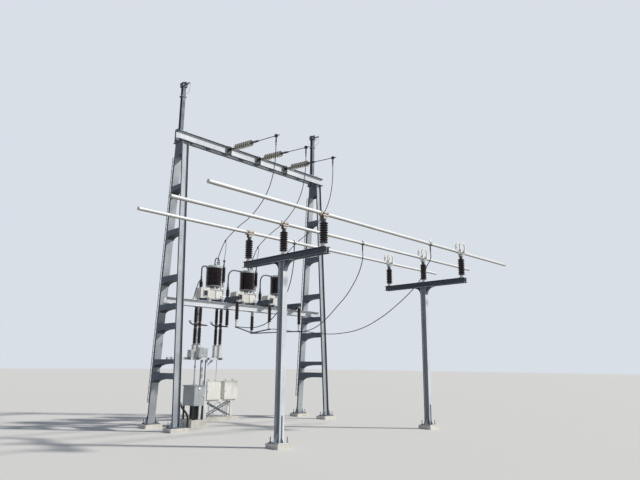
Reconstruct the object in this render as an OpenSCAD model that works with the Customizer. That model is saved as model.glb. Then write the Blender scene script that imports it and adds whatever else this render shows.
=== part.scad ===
// Line bay of an open-air 60 to 66 kV yard: a gantry of two A-frames, three tubular busbars on two
// T-shaped supports, three switchgear poles, and the cabinets that control them.
// Origin: ground level, at the middle of the bay's footprint. X runs along the busbars, Y away from
// the busbars towards the gantry, Z up. Millimetres.

/* [Bay] */
// Distance between the two A-frames, and between the two busbar supports
bay_pitch = 7000; // [6400:50:9000]
// Distance between phases
phase = 1600; // [1500:10:1800]
// Distance from the busbar supports to the gantry
row_gap = 5660; // [5000:20:7000]
// Height of the concrete pads above the ground
pad_h = 120; // [80:10:200]

/* [Gantry] */
// Height of the legs, from the pads to the underside of the beam
gantry_h = 10110; // [9000:10:12000]
// Distance between the feet of one A-frame
foot_spread = 1546; // [1300:2:1900]
// Distance between the legs of one A-frame at the head
head_spread = 350; // [300:10:450]
// Depth, flange, web and flange thickness of the leg channels
leg_ch = [265, 72, 9, 13];
// Depth, flange, web and flange thickness of the beam channels
beam_ch = [330, 90, 10, 15];
// Clear distance between the webs of the beam channels
beam_gap = 190; // [180:10:220]
// Distance between the main battens that tie the legs
batten_step = 1670; // [1600:10:1700]
// Height of the earth-wire masts above the head
mast_h = 2520; // [1500:10:3000]
// Distance between the rungs of the climbing rail
rung_step = 200; // [180:5:300]

/* [Busbars] */
// Height of the busbar centre above the pads
bus_h = 5985; // [5600:5:7000]
// Diameter and wall of the busbar tubes
bus_tube = [100, 5];
// Length of a busbar tube
bus_len = 14000; // [12000:50:15000]
// Half length of the crossbeam of a busbar support
arm_len = 1750; // [1700:10:1950]
// Depth, flange, web and flange thickness of the crossbeam channels
arm_ch = [175, 75, 8.5, 11.5];
// Height of a busbar post insulator over its metal fittings
post_ins_h = 770; // [700:10:900]

/* [Switchgear] */
// Height of the top of the equipment beam above the pads
rig_h = 4280; // [4000:10:4600]
// Depth, flange, web and flange thickness of the equipment beam channels
rig_ch = [230, 80, 9, 12.5];
// Diameter and height of the porcelain barrel of a pole
barrel = [600, 680];
// Height of the mechanism frame above the pads
frame_h = 2250; // [2200:10:2300]
// Opening angle of the cabinet doors as drawn
door_open = 0; // [0:1:100]

/* [Hidden] */
$fn = 32;
fine = 24;

// Footprint: the busbar arm at the front and the cabinet roofs at the back set the middle
cab_y = 1450;
cab = [640, 300, 690];
roof_over = 30;
front = -row_gap - arm_len;
back = cab_y + cab[1] + roof_over;
gy = -(front + back) / 2;
ty = gy - row_gap;
col_x = [-bay_pitch / 2, bay_pitch / 2];
sup_x = [col_x[0] + 170, col_x[1] + 170];
phase_x = [-phase, 0, phase];
string_x = [-1540, -50, 1430];
phase_y = [phase, 0, -phase];

// Heights
plate_t = 25;
beam_z = pad_h + gantry_h;
beam_top = beam_z + beam_ch[0];
arm_top = pad_h + bus_h - 915;
rig_top = pad_h + rig_h;
rig_low = rig_top - rig_ch[0];
pole_y = 290;

module ch(c) {
    // Channel section: web on the X axis, flanges towards +Y
    h = c[0] / 2;
    polygon([[-h, 0], [h, 0], [h, c[1]], [h - c[3], c[1]], [h - c[3], c[2]],
             [-h + c[3], c[2]], [-h + c[3], c[1]], [-h, c[1]]]);
}

module hsec(h, b, tw, tf) {
    // Rolled H section: depth along Y, flanges along X
    polygon([[-b / 2, -h / 2], [b / 2, -h / 2], [b / 2, -h / 2 + tf], [tw / 2, -h / 2 + tf],
             [tw / 2, h / 2 - tf], [b / 2, h / 2 - tf], [b / 2, h / 2], [-b / 2, h / 2],
             [-b / 2, h / 2 - tf], [-tw / 2, h / 2 - tf], [-tw / 2, -h / 2 + tf], [-b / 2, -h / 2 + tf]]);
}

module box(p, s) {
    // Box by its middle in X and Y and its underside in Z
    translate([p[0] - s[0] / 2, p[1] - s[1] / 2, p[2]]) cube(s);
}

module plate_yz(x, t, pts) {
    // Flat plate in the Y-Z plane, centred on x, from an outline in Y and Z
    translate([x - t / 2, 0, 0]) rotate([90, 0, 90]) linear_extrude(t) polygon(pts);
}

module plate_xz(y, t, pts) {
    // Flat plate in the X-Z plane, centred on y, from an outline in X and Z
    translate([0, y + t / 2, 0]) rotate([90, 0, 0]) linear_extrude(t) polygon(pts);
}

module rod(a, b, r, n = 16) {
    // Round bar from a to b
    d = b - a;
    l = norm(d);
    translate(a) rotate([0, acos(d[2] / l), atan2(d[1], d[0])]) cylinder(r = r, h = l, $fn = n);
}

// Porcelain with n sheds between the heights z0 and z1: core radius rc, shed radius rs
function shed_points(z0, z1, n, rc, rs) = let (p = (z1 - z0) / n) concat(
    [[0, z0]],
    [for (i = [0:n - 1]) each [[rc, z0 + i * p], [rs, z0 + (i + 0.38) * p],
                               [rs, z0 + (i + 0.52) * p], [rc, z0 + (i + 0.86) * p]]],
    [[rc, z1], [0, z1]]);

module sheds(z0, z1, n, rc, rs) {
    rotate_extrude($fn = 32) polygon(shed_points(z0, z1, n, rc, rs));
}

module post_insulator(h, n, rc, rs, cap_h, base_h) {
    // Post insulator on its foot at z = 0: cast base, porcelain, cast cap
    rotate_extrude($fn = 32) polygon(concat(
        [[0, 0], [rc * 1.6, 0], [rc * 1.6, base_h * 0.25], [rc * 1.25, base_h * 0.4], [rc * 1.2, base_h]],
        [for (i = [0:n - 1]) let (p = (h - cap_h - base_h) / n, z = base_h + i * p, k = rs * 0.74)
            each [[k, z + 0.08 * p], [rs, z + 0.4 * p], [rs, z + 0.56 * p], [k, z + 0.92 * p]]],
        [[rc * 1.15, h - cap_h], [rc * 1.15, h], [0, h]]));
}

// Gantry legs: half distance between the webs at a height above the pads
function leg_y(z) = foot_spread / 2 + (head_spread - foot_spread) / 2 * z / gantry_h;
lean = atan((foot_spread - head_spread) / 2 / gantry_h);

foot_plate = [500, 360, plate_t];
foot_holes = [400, 280];
hole_r = 14;
pad = [640, 500];
foot_at = foot_spread / 2 + leg_ch[1] / 2;

module hole_grid(p, sx, sy, z0, z1, r) {
    for (i = [-1, 1], j = [-1, 1])
        translate([p[0] + i * sx / 2, p[1] + j * sy / 2, z0]) cylinder(r = r, h = z1 - z0);
}

module gantry_pads() {
    color("silver") for (x = col_x, s = [-1, 1]) difference() {
        box([x, gy + s * foot_at, 0], [pad[0], pad[1], pad_h]);
        hole_grid([x, gy + s * foot_at], foot_holes[0], foot_holes[1], 20, pad_h + 1, hole_r);
    }
}

arm_pad = [500, 500];
arm_plate = [400, 400];
arm_holes = [320, 320];

module support_pads() {
    color("silver") for (x = sup_x) difference() {
        box([x, ty, 0], [arm_pad[0], arm_pad[1], pad_h]);
        hole_grid([x, ty], arm_holes[0], arm_holes[1], 20, pad_h + 1, hole_r);
    }
}

plinth_h = 240;

module yard_pads() {
    // Plinth under the drive kiosk and the frame's legs, and the pad under the cabinets
    color("silver") {
        translate([-2480, gy - 120, 0]) cube([640, 750, plinth_h]);
        translate([-930, gy + cab_y - 60, 0]) cube([1600, 430, pad_h]);
    }
}

module leg(s) {
    // One leaning channel with its toes outwards, cut level at the foot and the head
    intersection() {
        translate([0, s * foot_spread / 2, 0]) rotate([s * lean, 0, 0])
            translate([0, 0, -100]) linear_extrude(gantry_h + 300) mirror([0, s > 0 ? 0 : 1, 0]) ch(leg_ch);
        translate([-400, -1500, plate_t]) cube([800, 3000, gantry_h - 2 * plate_t]);
    }
}

module near_legs() {
    color("lightgray") for (x = col_x) translate([x, gy, pad_h]) leg(-1);
}

module far_legs() {
    color("lightgray") for (x = col_x) translate([x, gy, pad_h]) leg(1);
}

module foot() {
    // Base plate with four anchor holes, a tapered rib each side of the channel and two end ribs
    difference() {
        translate([-foot_plate[0] / 2, -foot_plate[1] / 2, 0]) cube(foot_plate);
        hole_grid([0, 0], foot_holes[0], foot_holes[1], -1, plate_t + 1, hole_r);
    }
    e = leg_ch[0] / 2;
    for (i = [0, 1]) mirror([i, 0, 0])
        plate_xz(0, 14, [[e, plate_t - 1], [240, plate_t - 1], [240, plate_t + 20], [e + 10, 280], [e, 280]]);
}

module leg_feet() {
    color("gray") for (x = col_x, s = [-1, 1]) translate([x, gy + s * foot_at, pad_h]) foot();
}

batten_t = 12;
lap = 55;

// Points of a quarter curve from p to q that leaves p level and reaches q plumb
function swoop(p, q, n) = [for (i = [0:n]) let (a = 90 * i / n)
    [p[0] + (q[0] - p[0]) * sin(a), p[1] + (q[1] - p[1]) * (1 - cos(a))]];

module haunch(z, d_far, d_near) {
    // Tie between the legs: a plate on each side, level on top and swept down towards the far leg,
    // and a flange that follows the sweep between the two plates
    zf = z - d_far;
    zn = z - d_near;
    x = leg_ch[0] / 2;
    yn = -leg_y(z) + 2;
    yf = leg_y(z) - 2;
    curve = swoop([yf - 0.62 * (yf - yn), zn], [yf, zf], 6);
    edge = concat([[-leg_y(zn) - lap, zn]], curve, [[leg_y(zf) + lap, zf]]);
    for (i = [0, 1]) mirror([i, 0, 0])
        plate_yz(x + batten_t / 2, batten_t, concat(edge, [[leg_y(z) + lap, z], [-leg_y(z) - lap, z]]));
    low = [for (p = curve) [p[0] + 4, p[1] + 4]];
    rim = [for (i = [len(curve) - 1:-1:0]) [curve[i][0] + 14, curve[i][1] + 14]];
    plate_yz(0, 2 * x + 4, concat([[yn, zn + 4]], low, rim, [[yn, zn + 14]]));
}

module leg_battens() {
    color("dimgray") for (x = col_x) translate([x, gy, pad_h]) {
        for (i = [1:5]) haunch(i * batten_step + 40, 340 - 30 * i / 5, 190);
        haunch(rig_h - rig_ch[0], 280, 170);
        haunch(frame_h - 80, 280, 150);
    }
}

head_t = 14;
mast_sec = [150, 130, 8, 12];
mast_x = 35;
mast_y = 250;
beam_y = gy - 85;

module leg_heads() {
    // Cap plate under the beam, gussets on the legs below it, and the cleats that hold the mast
    z1 = gantry_h - plate_t;
    x = leg_ch[0] / 2 + head_t / 2;
    color("dimgray") for (c = col_x) translate([c, gy, pad_h]) {
        translate([-175, -290, z1]) cube([410, 640, plate_t]);
        for (i = [-1, 1]) plate_yz(i * x, head_t,
            [[-leg_y(z1 - 560) - 60, z1 - 560], [leg_y(z1 - 560) + 60, z1 - 560],
             [leg_y(z1) + 60, z1 + 1], [-leg_y(z1) - 60, z1 + 1]]);
        for (i = [-140, 210]) translate([i - head_t / 2, 102, gantry_h - 1]) cube([head_t, 240, 551]);
        translate([-147, mast_y + mast_sec[0] / 2, gantry_h + 60]) cube([364, head_t, 420]);
    }
}

module climbing_rails() {
    // Flat stiles beside the far leg, one on the toe of the channel, with rungs between them
    color("gray") for (x = col_x) translate([x, gy, pad_h])
        translate([0, foot_spread / 2, 0]) rotate([lean, 0, 0]) {
            for (y = [leg_ch[1], leg_ch[1] + 95])
                translate([-leg_ch[0] / 2, y, 700]) cube([10, 28, gantry_h - 1250]);
            for (z = [800:rung_step:gantry_h - 650])
                translate([-leg_ch[0] / 2 + 5, leg_ch[1] + 14, z]) rotate([-90, 0, 0])
                    cylinder(r = 8, h = 95, $fn = 6);
        }
}

beam_len = bay_pitch + 560;

module beam_channel(s) {
    translate([-beam_len / 2, beam_y + s * beam_gap / 2, beam_z + beam_ch[0] / 2])
        rotate([90, 0, 90]) linear_extrude(beam_len) rotate(s > 0 ? -90 : 90) ch(beam_ch);
}

module beam_front_channel() {
    color("lightgray") beam_channel(-1);
}

module beam_back_channel() {
    color("lightgray") beam_channel(1);
}

module beam_battens() {
    // Tie plates between the webs of the beam
    color("dimgray") for (i = [-4:4]) translate([i * phase / 2, beam_y, beam_z]) {
        box([0, 0, 20], [180, beam_gap, 12]);
        box([0, 0, beam_ch[0] - 32], [180, beam_gap, 12]);
        box([0, 0, 31], [12, beam_gap, beam_ch[0] - 62]);
    }
}

module earth_wire_masts() {
    color("lightgray") for (x = col_x) translate([x + mast_x, gy + mast_y, beam_z])
        linear_extrude(mast_h - 180) hsec(mast_sec[0], mast_sec[1], mast_sec[2], mast_sec[3]);
}

module mast_fittings() {
    // Head box, the tilted earth-wire clamp on it, the strain clamp towards the line, and a collar
    color("dimgray") for (x = col_x) translate([x + mast_x, gy + mast_y, beam_z + mast_h - 180]) {
        box([0, 0, 0], [200, 210, 150]);
        rod([0, -160, 175], [0, 150, 235], 24);
        box([0, 0, 149], [50, 60, 60]);
        rod([0, -104, 80], [0, -420, 60], 26);
        for (y = [-1, 1]) translate([-105, y * 82 - 7, -420]) cube([210, 14, 50]);
        for (x = [-1, 1]) translate([x * 72 - 7, -89, -420]) cube([14, 178, 50]);
    }
}

string_z = pad_h + 10330;
string_y = gy - 310;
disc_step = 127;
discs = 8;
droop = 5.5;
link_len = 330;
string_len = discs * disc_step;

module along_line(x) {
    // Frame of one string: its Z axis runs out along the drooping line
    translate([x, string_y, string_z]) rotate([90 + droop, 0, 0]) children();
}

function disc_points() = concat([[0, 0]],
    [for (i = [0:discs - 1]) let (z = i * disc_step)
        each [[20, z + 2], [42, z + 16], [46, z + 56], [120, z + 74], [127, z + 88], [121, z + 98],
              [111, z + 84], [88, z + 96], [78, z + 80], [30, z + 84], [18, z + 100]]],
    [[18, string_len], [0, string_len]]);

module string_of_discs() {
    color("tan") rotate_extrude($fn = 32) polygon(disc_points());
}

module string_a() { along_line(string_x[0]) translate([0, 0, link_len]) string_of_discs(); }
module string_b() { along_line(string_x[1]) translate([0, 0, link_len]) string_of_discs(); }
module string_c() { along_line(string_x[2]) translate([0, 0, link_len]) string_of_discs(); }

module string_links() {
    // Plate across the toes of the front channel, ear, and the link down to the first disc
    toe = beam_y - beam_gap / 2 - beam_ch[1];
    color("dimgray") for (x = string_x) {
        translate([x - 90, toe - 14, beam_z]) cube([180, 14, beam_ch[0]]);
        plate_yz(x, 20, [[toe - 13, string_z - 60], [toe - 13, string_z + 60],
                         [string_y - 60, string_z + 28], [string_y - 60, string_z - 34]]);
        along_line(x) translate([0, 0, 20]) cylinder(r = 18, h = link_len - 20);
        along_line(x) translate([0, 0, 120]) cube([50, 30, 90], center = true);
    }
}

clamp_len = 420;
line_r = 14;

// Routes of the droppers: the line's in Y and Z with an X for each phase, the busbars' in X, Y and Z in to
// the foot of the hanging insulators
line_route = [[-3080, 9920], [-3080, 9500], [-3030, 9040], [-2900, 8540], [-2640, 8080], [-2240, 7690],
              [-1720, 7370], [-1200, 7170], [-720, 6940], [-340, 6700], [-90, 6370], [70, 6010], [70, 5920]];
line_x = [[-1540, -1540, -1540, -1545, -1550, -1555, -1560, -1570, -1580, -1590, -1595, -1600, -1600],
          [-50, -50, -50, -45, -40, -35, -30, -25, -20, -10, -5, 0, 0],
          [1430, 1430, 1440, 1450, 1465, 1485, 1510, 1530, 1550, 1570, 1585, 1600, 1600]];
bus_routes = [
    [[-1450, -4060, 5860], [-1450, -4060, 5560], [-1440, -4000, 5200], [-1425, -3890, 4840],
     [-1400, -3700, 4480], [-1360, -3430, 4140], [-1310, -3080, 3820], [-1250, -2640, 3590],
     [-1180, -2060, 3450], [-1090, -1360, 3435], [-1000, -800, 3475], [-950, -560, 3500], [-950, -464, 3500]],
    [[160, -5660, 5860], [160, -5660, 5620], [170, -5570, 5330], [185, -5410, 5040], [205, -5170, 4740],
     [240, -4840, 4420], [280, -4420, 4120], [340, -3880, 3760], [400, -3240, 3450], [470, -2440, 3330],
     [550, -1640, 3390], [620, -880, 3480], [650, -560, 3500], [650, -464, 3500]],
    [[1740, -7260, 5860], [1740, -7260, 5620], [1750, -7110, 5400], [1765, -6950, 5150], [1780, -6730, 4880],
     [1805, -6400, 4610], [1850, -5800, 4220], [1910, -4980, 3790], [1985, -4000, 3455], [2075, -2880, 3325],
     [2150, -1850, 3350], [2210, -1040, 3450], [2250, -560, 3500], [2250, -464, 3500]]];
foot_z = 3500;
tee_at = (string_y - gy - line_route[0][0]) / cos(droop);

module dead_end_clamps() {
    // Strain clamp, the short length of line that is kept, and the tee that the dropper hangs from
    tz = string_z - sin(droop) * tee_at;
    z0 = link_len + string_len;
    color("dimgray") for (x = string_x) {
        along_line(x) {
            translate([0, 0, z0]) cylinder(r1 = 24, r2 = 32, h = clamp_len);
            translate([0, 0, z0 + clamp_len - 1]) cylinder(r = line_r, h = tee_at - z0 - clamp_len + 180);
            translate([0, 0, tee_at - 60]) cylinder(r = 34, h = 120);
        }
        translate([x, gy + line_route[0][0], line_route[0][1]])
            cylinder(r = 26, h = tz - line_route[0][1] + 40);
    }
}

// Busbar supports
post_sec = [215, 170, 9, 14];
clamp_h = 145;
ins_top = arm_top + post_ins_h;
arm_low = arm_top - arm_ch[0];

module support_posts() {
    color("gray") for (x = sup_x) translate([x, ty, pad_h]) {
        h = arm_low - pad_h - plate_t;
        translate([0, 0, plate_t]) linear_extrude(h - plate_t)
            hsec(post_sec[0], post_sec[1], post_sec[2], post_sec[3]);
        difference() {
            translate([-arm_plate[0] / 2, -arm_plate[1] / 2, 0])
                cube([arm_plate[0], arm_plate[1], plate_t + 1]);
            hole_grid([0, 0], arm_holes[0], arm_holes[1], -1, plate_t + 2, hole_r);
        }
        box([0, 0, h], [240, 760, plate_t]);
        // Long ribs on the flanges, flared at the foot, and short ribs beside the web
        for (s = [-1, 1]) {
            plate_yz(0, 14, [[s * 107, plate_t], [s * 190, plate_t], [s * 190, plate_t + 25], [s * 140, 160],
                             [s * 140, 690], [s * 120, 720], [s * 107, 720]]);
            plate_xz(0, 12, [[s * 4, plate_t], [s * 190, plate_t], [s * 190, plate_t + 30],
                             [s * 95, 240], [s * 4, 240]]);
        }
    }
}

arm_gap = 90;

module support_arms() {
    // Two channels with their backs to each other, tied by plates
    color("gray") for (x = sup_x) translate([x, ty, arm_low]) {
        for (s = [-1, 1]) translate([s * arm_gap / 2, -arm_len, arm_ch[0] / 2])
            rotate([-90, 0, 0]) linear_extrude(2 * arm_len) rotate(s > 0 ? -90 : 90) ch(arm_ch);
        for (y = [-1690, -phase, -820, 0, 820, phase, 1690])
            box([0, y, 12], [arm_gap + 2, 12, arm_ch[0] - 24]);
    }
}

gusset_r = 250;

module support_gussets() {
    // Swept bracket each side of the post: a plate under the crossbeam with a curved flange
    y0 = post_sec[0] / 2;
    top = -35;
    curve = [for (i = [0:8]) let (a = 90 * i / 8)
        [y0 + 20 + gusset_r * (1 - cos(a)), top - gusset_r * (1 - sin(a))]];
    rim = [for (i = [8:-1:0]) let (a = 90 * i / 8)
        [y0 + 20 + gusset_r - (gusset_r + 10) * cos(a), top - gusset_r + (gusset_r + 10) * sin(a)]];
    color("gray") for (x = sup_x, i = [0, 1]) translate([x, ty, arm_low]) mirror([0, i, 0]) {
        plate_yz(0, 14, concat([[y0, -plate_t], [y0, top - gusset_r]], curve,
                               [[y0 + 20 + gusset_r, -plate_t]]));
        plate_yz(0, 130, concat(curve, rim));
    }
}

module busbar_insulators() {
    color("maroon") for (x = sup_x, y = phase_y) translate([x, ty + y, arm_top])
        post_insulator(post_ins_h, 9, 50, 120, 90, 100);
}

module clamp_block(w) {
    // Foot, neck and body of a busbar clamp, bored for the tube, with the flanges of its keeper
    difference() {
        union() {
            box([0, 0, 0], [130, 130, 22]);
            box([0, 0, 21], [w * 0.6, 110, 70]);
            box([0, 0, 76], [w, 150, clamp_h - 76]);
            translate([-w / 2, 0, clamp_h]) rotate([0, 90, 0]) cylinder(r = 72, h = w);
            box([0, 0, clamp_h - 9], [w, 190, 18]);
        }
        translate([-200, 0, clamp_h]) rotate([0, 90, 0]) cylinder(r = bus_tube[0] / 2, h = 400);
    }
}

module fixed_clamps() {
    color("saddlebrown") for (y = phase_y) translate([sup_x[0], ty + y, ins_top]) clamp_block(200);
}

module clamp_sleeves() {
    // Collar on the tube at each end of a fixed clamp
    color("wheat") for (y = phase_y, i = [0, 1])
        translate([sup_x[0], ty + y, ins_top + clamp_h]) mirror([i, 0, 0]) rotate([0, 90, 0])
            difference() {
                translate([0, 0, 100]) cylinder(r = 62, h = 46);
                translate([0, 0, 90]) cylinder(r = bus_tube[0] / 2, h = 70);
            }
}

module expansion_clamps() {
    color("gray") for (y = phase_y) translate([sup_x[1], ty + y, ins_top]) clamp_block(150);
}

loop_r = 165;
loop_y = 80;
loop_z = 175;

module expansion_loops() {
    // Two laminated loops over each expansion clamp, and the lugged sleeves that carry them
    color("whitesmoke") for (y = phase_y) translate([sup_x[1], ty + y, ins_top + clamp_h]) {
        for (i = [-1, 1]) difference() {
            union() {
                translate([i * 145 - 55, 0, 0]) rotate([0, 90, 0]) cylinder(r = 64, h = 110);
                box([i * 128, 0, -26], [56, 2 * loop_y + 56, 52]);
            }
            translate([i * 145 - 60, 0, 0]) rotate([0, 90, 0]) cylinder(r = bus_tube[0] / 2, h = 120);
        }
        for (s = [-1, 1]) translate([0, s * loop_y, 0]) {
            translate([0, 0, loop_z]) rotate([90, 0, 0]) rotate(-38) rotate_extrude(angle = 256, $fn = 72)
                translate([loop_r, 0]) square([24, 50], center = true);
            for (i = [-1, 1]) box([i * 128, 0, 20], [60, 62, 70]);
        }
    }
}

module busbar_tubes() {
    color("white") for (y = phase_y) translate([-bus_len / 2, ty + y, ins_top + clamp_h]) rotate([0, 90, 0])
        difference() {
            cylinder(r = bus_tube[0] / 2, h = bus_len);
            translate([0, 0, -1]) cylinder(r = bus_tube[0] / 2 - bus_tube[1], h = bus_len + 2);
        }
}

tap_x = [-1450, 160, 1740];

module tap_clamps() {
    // Tee clamp round each tube where its dropper leaves, down to the dropper's end
    z1 = ins_top + clamp_h;
    color("rosybrown") for (i = [0:2]) translate([tap_x[i], ty + phase_y[i], 0]) {
        translate([0, 0, z1]) rotate([0, 90, 0]) difference() {
            cylinder(r = 64, h = 90, center = true);
            cylinder(r = bus_tube[0] / 2, h = 92, center = true);
        }
        translate([0, 0, bus_routes[i][0][2]]) cylinder(r = 20, h = z1 - 56 - bus_routes[i][0][2]);
    }
}

// Equipment beam between the A-frames
rig_gap = 160;

module equipment_beam() {
    color("lightgray") {
        for (s = [-1, 1]) translate([-bay_pitch / 2 - 240, gy + s * rig_gap / 2, rig_top - rig_ch[0] / 2])
            rotate([90, 0, 90]) linear_extrude(bay_pitch + 480) rotate(s > 0 ? -90 : 90) ch(rig_ch);
        for (x = [-3000, -2400, -800, 0, 800, 2400, 3000])
            box([x, gy, rig_low + 12.5], [12, rig_gap + 1, rig_ch[0] - 25]);
    }
}

bracket_x = 650;
seat_h = 120;
house_h = 380;

module pole_brackets() {
    // Beside each pole a cross arm with a sloped tail, and under the pole two bearers
    color("dimgray") for (x = phase_x) translate([x, gy, rig_top]) {
        for (i = [-1, 1]) plate_yz(bracket_x + i * 45, 14,
            [[-470, 110], [-320, 110], [-200, 0], [160, 0], [400, 80], [440, 130], [300, 260], [-470, 260]]);
        translate([bracket_x - 60, -470, 246]) cube([120, 770, 14]);
        translate([bracket_x - 60, -470, 110]) cube([120, 150, 12]);
        for (p = [-500, 130]) translate([p - 45, -165, 0]) cube([90, 685, seat_h]);
    }
}

module pole_housings() {
    // Cast box along the beam: body, lid with an overhang, and the raised end with its sloped shoulder
    color("beige") for (x = phase_x) translate([x, gy + pole_y, rig_top + seat_h]) {
        translate([0, 190, 0]) rotate([90, 0, 0]) linear_extrude(380)
            polygon([[-650, 0], [300, 0], [300, 350], [-215, 350], [-275, house_h + 25], [-600, house_h + 25],
                     [-650, house_h - 10]]);
        translate([-230, -215, 349]) cube([550, 430, house_h - 349]);
        translate([-660, -200, 120]) cube([20, 400, 130]);
    }
}

housing_top = rig_top + seat_h + house_h;
neck_h = 135;

module pole_bases() {
    // Cast neck between housing and barrel, with four ribs
    color("silver") for (x = phase_x) translate([x, gy + pole_y, housing_top]) {
        rotate_extrude()
            polygon([[0, 0], [195, 0], [195, 22], [140, 50], [140, 90], [275, 112], [275, neck_h],
                     [0, neck_h]]);
        for (a = [45:90:315]) rotate([0, 0, a]) translate([0, -8, 20]) cube([210, 16, 92]);
    }
}

barrel_z = housing_top + neck_h;

module pole_barrels() {
    color("maroon") for (x = phase_x) translate([x, gy + pole_y, barrel_z])
        sheds(0, barrel[1], 14, barrel[0] / 2 - 26, barrel[0] / 2);
}

cap_z = barrel_z + barrel[1];
jump_z = cap_z + 36;

// Jumper of each pole: length out from the pole, turn from the X axis, foot and height of its insulator, bend
jump_len = [545, 980, 980];
jump_turn = [0, 4.7, 4.7];
jump_foot = [housing_top + 25, rig_top + 260, rig_top + 260];
jump_ins = [250, 340, 340];
jump_bend = [110, 300, 300];
jump_r = 26;

module pole_caps() {
    // Stepped cast cap with a rim, the offset terminal on it and the boss that the jumper leaves from
    color("silver") for (i = [0:2]) translate([phase_x[i], gy + pole_y, cap_z]) {
        rotate_extrude()
            polygon([[0, 0], [308, 0], [308, 30], [285, 36], [285, 64], [255, 92], [110, 114], [0, 114]]);
        translate([0, line_route[12][0] - pole_y, 50]) cylinder(r = 30, h = line_route[12][1] - cap_z - 50);
        box([0, line_route[12][0] - pole_y, 50], [130, 90, 62]);
        rotate([0, 0, jump_turn[i]]) translate([-345, 0, 36]) rotate([0, 90, 0]) cylinder(r = 34, h = 90);
    }
}

arr_x = 450;
arr_z = rig_top + seat_h;

module surge_arresters() {
    // Slim column beside each pole: shelf on the housing, tapered stool, porcelain, terminal and spur rod
    color("maroon") for (x = phase_x) translate([x + arr_x, gy + pole_y, arr_z]) {
        translate([-150, -60, 130]) cube([215, 120, 20]);
        translate([0, 0, 149]) cylinder(r1 = 66, r2 = 50, h = 542);
        translate([0, 0, 690]) post_insulator(630, 12, 44, 76, 40, 40);
        box([0, 0, 1319], [64, 64, 60]);
        translate([0, 0, 1370]) cylinder(r = 10, h = 210);
    }
}

module jumper_pipes() {
    // Tubular jumper from the boss on the cap, bent down to the side insulator
    color("silver") for (i = [0:2]) translate([phase_x[i], gy + pole_y, 0]) rotate([0, 0, jump_turn[i]]) {
        l = jump_len[i];
        b = jump_bend[i];
        z0 = jump_foot[i] + jump_ins[i];
        rod([-345, 0, jump_z], [-l + b, 0, jump_z], jump_r);
        translate([-l + b, 0, jump_z - b]) rotate([90, 0, 0]) rotate([0, 0, 90])
            rotate_extrude(angle = 90, $fn = 48) translate([b, 0]) circle(r = jump_r, $fn = 16);
        translate([-l, 0, z0]) cylinder(r = jump_r, h = jump_z - b - z0);
        translate([-l, 0, z0 + 10]) cylinder(r = 42, h = 60);
        translate([-l, 0, z0 + 110]) cylinder(r = 35, h = 50);
    }
}

module pipe_insulators() {
    color("maroon") for (i = [0:2]) translate([phase_x[i], gy + pole_y, jump_foot[i]])
        rotate([0, 0, jump_turn[i]]) translate([-jump_len[i], 0, 0])
            post_insulator(jump_ins[i], round(jump_ins[i] / 55), 42, 76, 40, 50);
}

hang_h = 800;
rear_x = [-1100, 100];
rear_h = 660;

module hanging_insulators() {
    // One under the near end of each cross arm, two under the equipment beam, each with its foot clamp
    color("maroon") {
        for (x = phase_x) translate([x + bracket_x, gy - 400, rig_top + 110]) mirror([0, 0, 1]) {
            post_insulator(hang_h, 12, 42, 74, 70, 60);
            box([0, 0, hang_h - 1], [60, 60, rig_top + 110 - hang_h + 1 - foot_z - 28]);
        }
        for (i = [0, 1]) translate([rear_x[i], gy, rig_low - i * 120]) mirror([0, 0, 1]) {
            post_insulator(rear_h, 10, 42, 72, 60, 60);
            if (i == 1) translate([0, 0, -120]) cylinder(r = 50, h = 121);
            for (s = [0, 1]) mirror([0, s, 0]) translate([-50, -1, -120 * i]) cube([100, 166, 14]);
        }
    }
}

module lower_conductors() {
    // Clamp and dropper stub under the foot of each front insulator, and the pipes between the feet
    mid = rig_low - 120 - rear_h;
    color("silver") translate([0, gy, 0]) {
        for (x = phase_x) translate([x + bracket_x, -400, foot_z]) {
            box([0, 0, -28], [64, 64, 56]);
            translate([0, -20, 0]) rotate([90, 0, 0]) cylinder(r = 24, h = 44);
        }
        box([rear_x[1], 0, mid - 80], [80, 80, 80]);
        rod([phase_x[0] + bracket_x, -400, foot_z], [rear_x[1], 0, mid - 40], 24);
        rod([rear_x[1], 0, mid - 45], [phase_x[1] + bracket_x, -400, foot_z], 24);
        rod([rear_x[1], 0, mid - 60], [phase_x[2] + bracket_x, -400, foot_z], 24);
    }
}

// Mechanism frame between the left A-frame and its own legs, and the switch columns on it
frame_end = -1400;
stack_x = [-2345, -1440];
stack_y = [-90, 200];
legs_x = -1920;

module mechanism_frame() {
    color("lightgray") translate([0, gy, 0]) {
        for (y = stack_y) translate([-3510 + 100, y, pad_h + frame_h - 40])
            rotate([90, 0, 90]) linear_extrude(frame_end + 3410) square([70, 80], center = true);
        for (x = [-2750, -2400, frame_end - 35])
            translate([x - 35, -340, pad_h + frame_h - 80]) cube([70, 680, 79]);
        for (y = [0, 290])
            translate([legs_x - 35, y - 35, plinth_h]) cube([70, 70, pad_h + frame_h - 79 - plinth_h]);
        translate([legs_x - 35, -235, pad_h + frame_h - 80]) cube([70, 560, 79]);
        // Knee brace out to the free end
        plate_xz(0, 60, [[legs_x + 34, pad_h + 1860], [legs_x + 34, pad_h + 1950],
                         [legs_x + 210, pad_h + frame_h - 79], [legs_x + 290, pad_h + frame_h - 79]]);
    }
}

low_h = 660;
box_h = 440;
live_h = 110;
low_z = pad_h + frame_h + box_h;
top_z = low_z + low_h + live_h;

module switch_columns() {
    // Each stack is a post insulator on the drive pedestal and a second one hung from the equipment beam
    color("maroon") for (x = stack_x, y = stack_y) translate([x, gy + y, 0]) {
        translate([0, 0, low_z]) post_insulator(low_h, 11, 40, 68, 60, 60);
        translate([0, 0, rig_low]) mirror([0, 0, 1]) post_insulator(rig_low - top_z, 10, 40, 68, 50, 60);
    }
}

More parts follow.
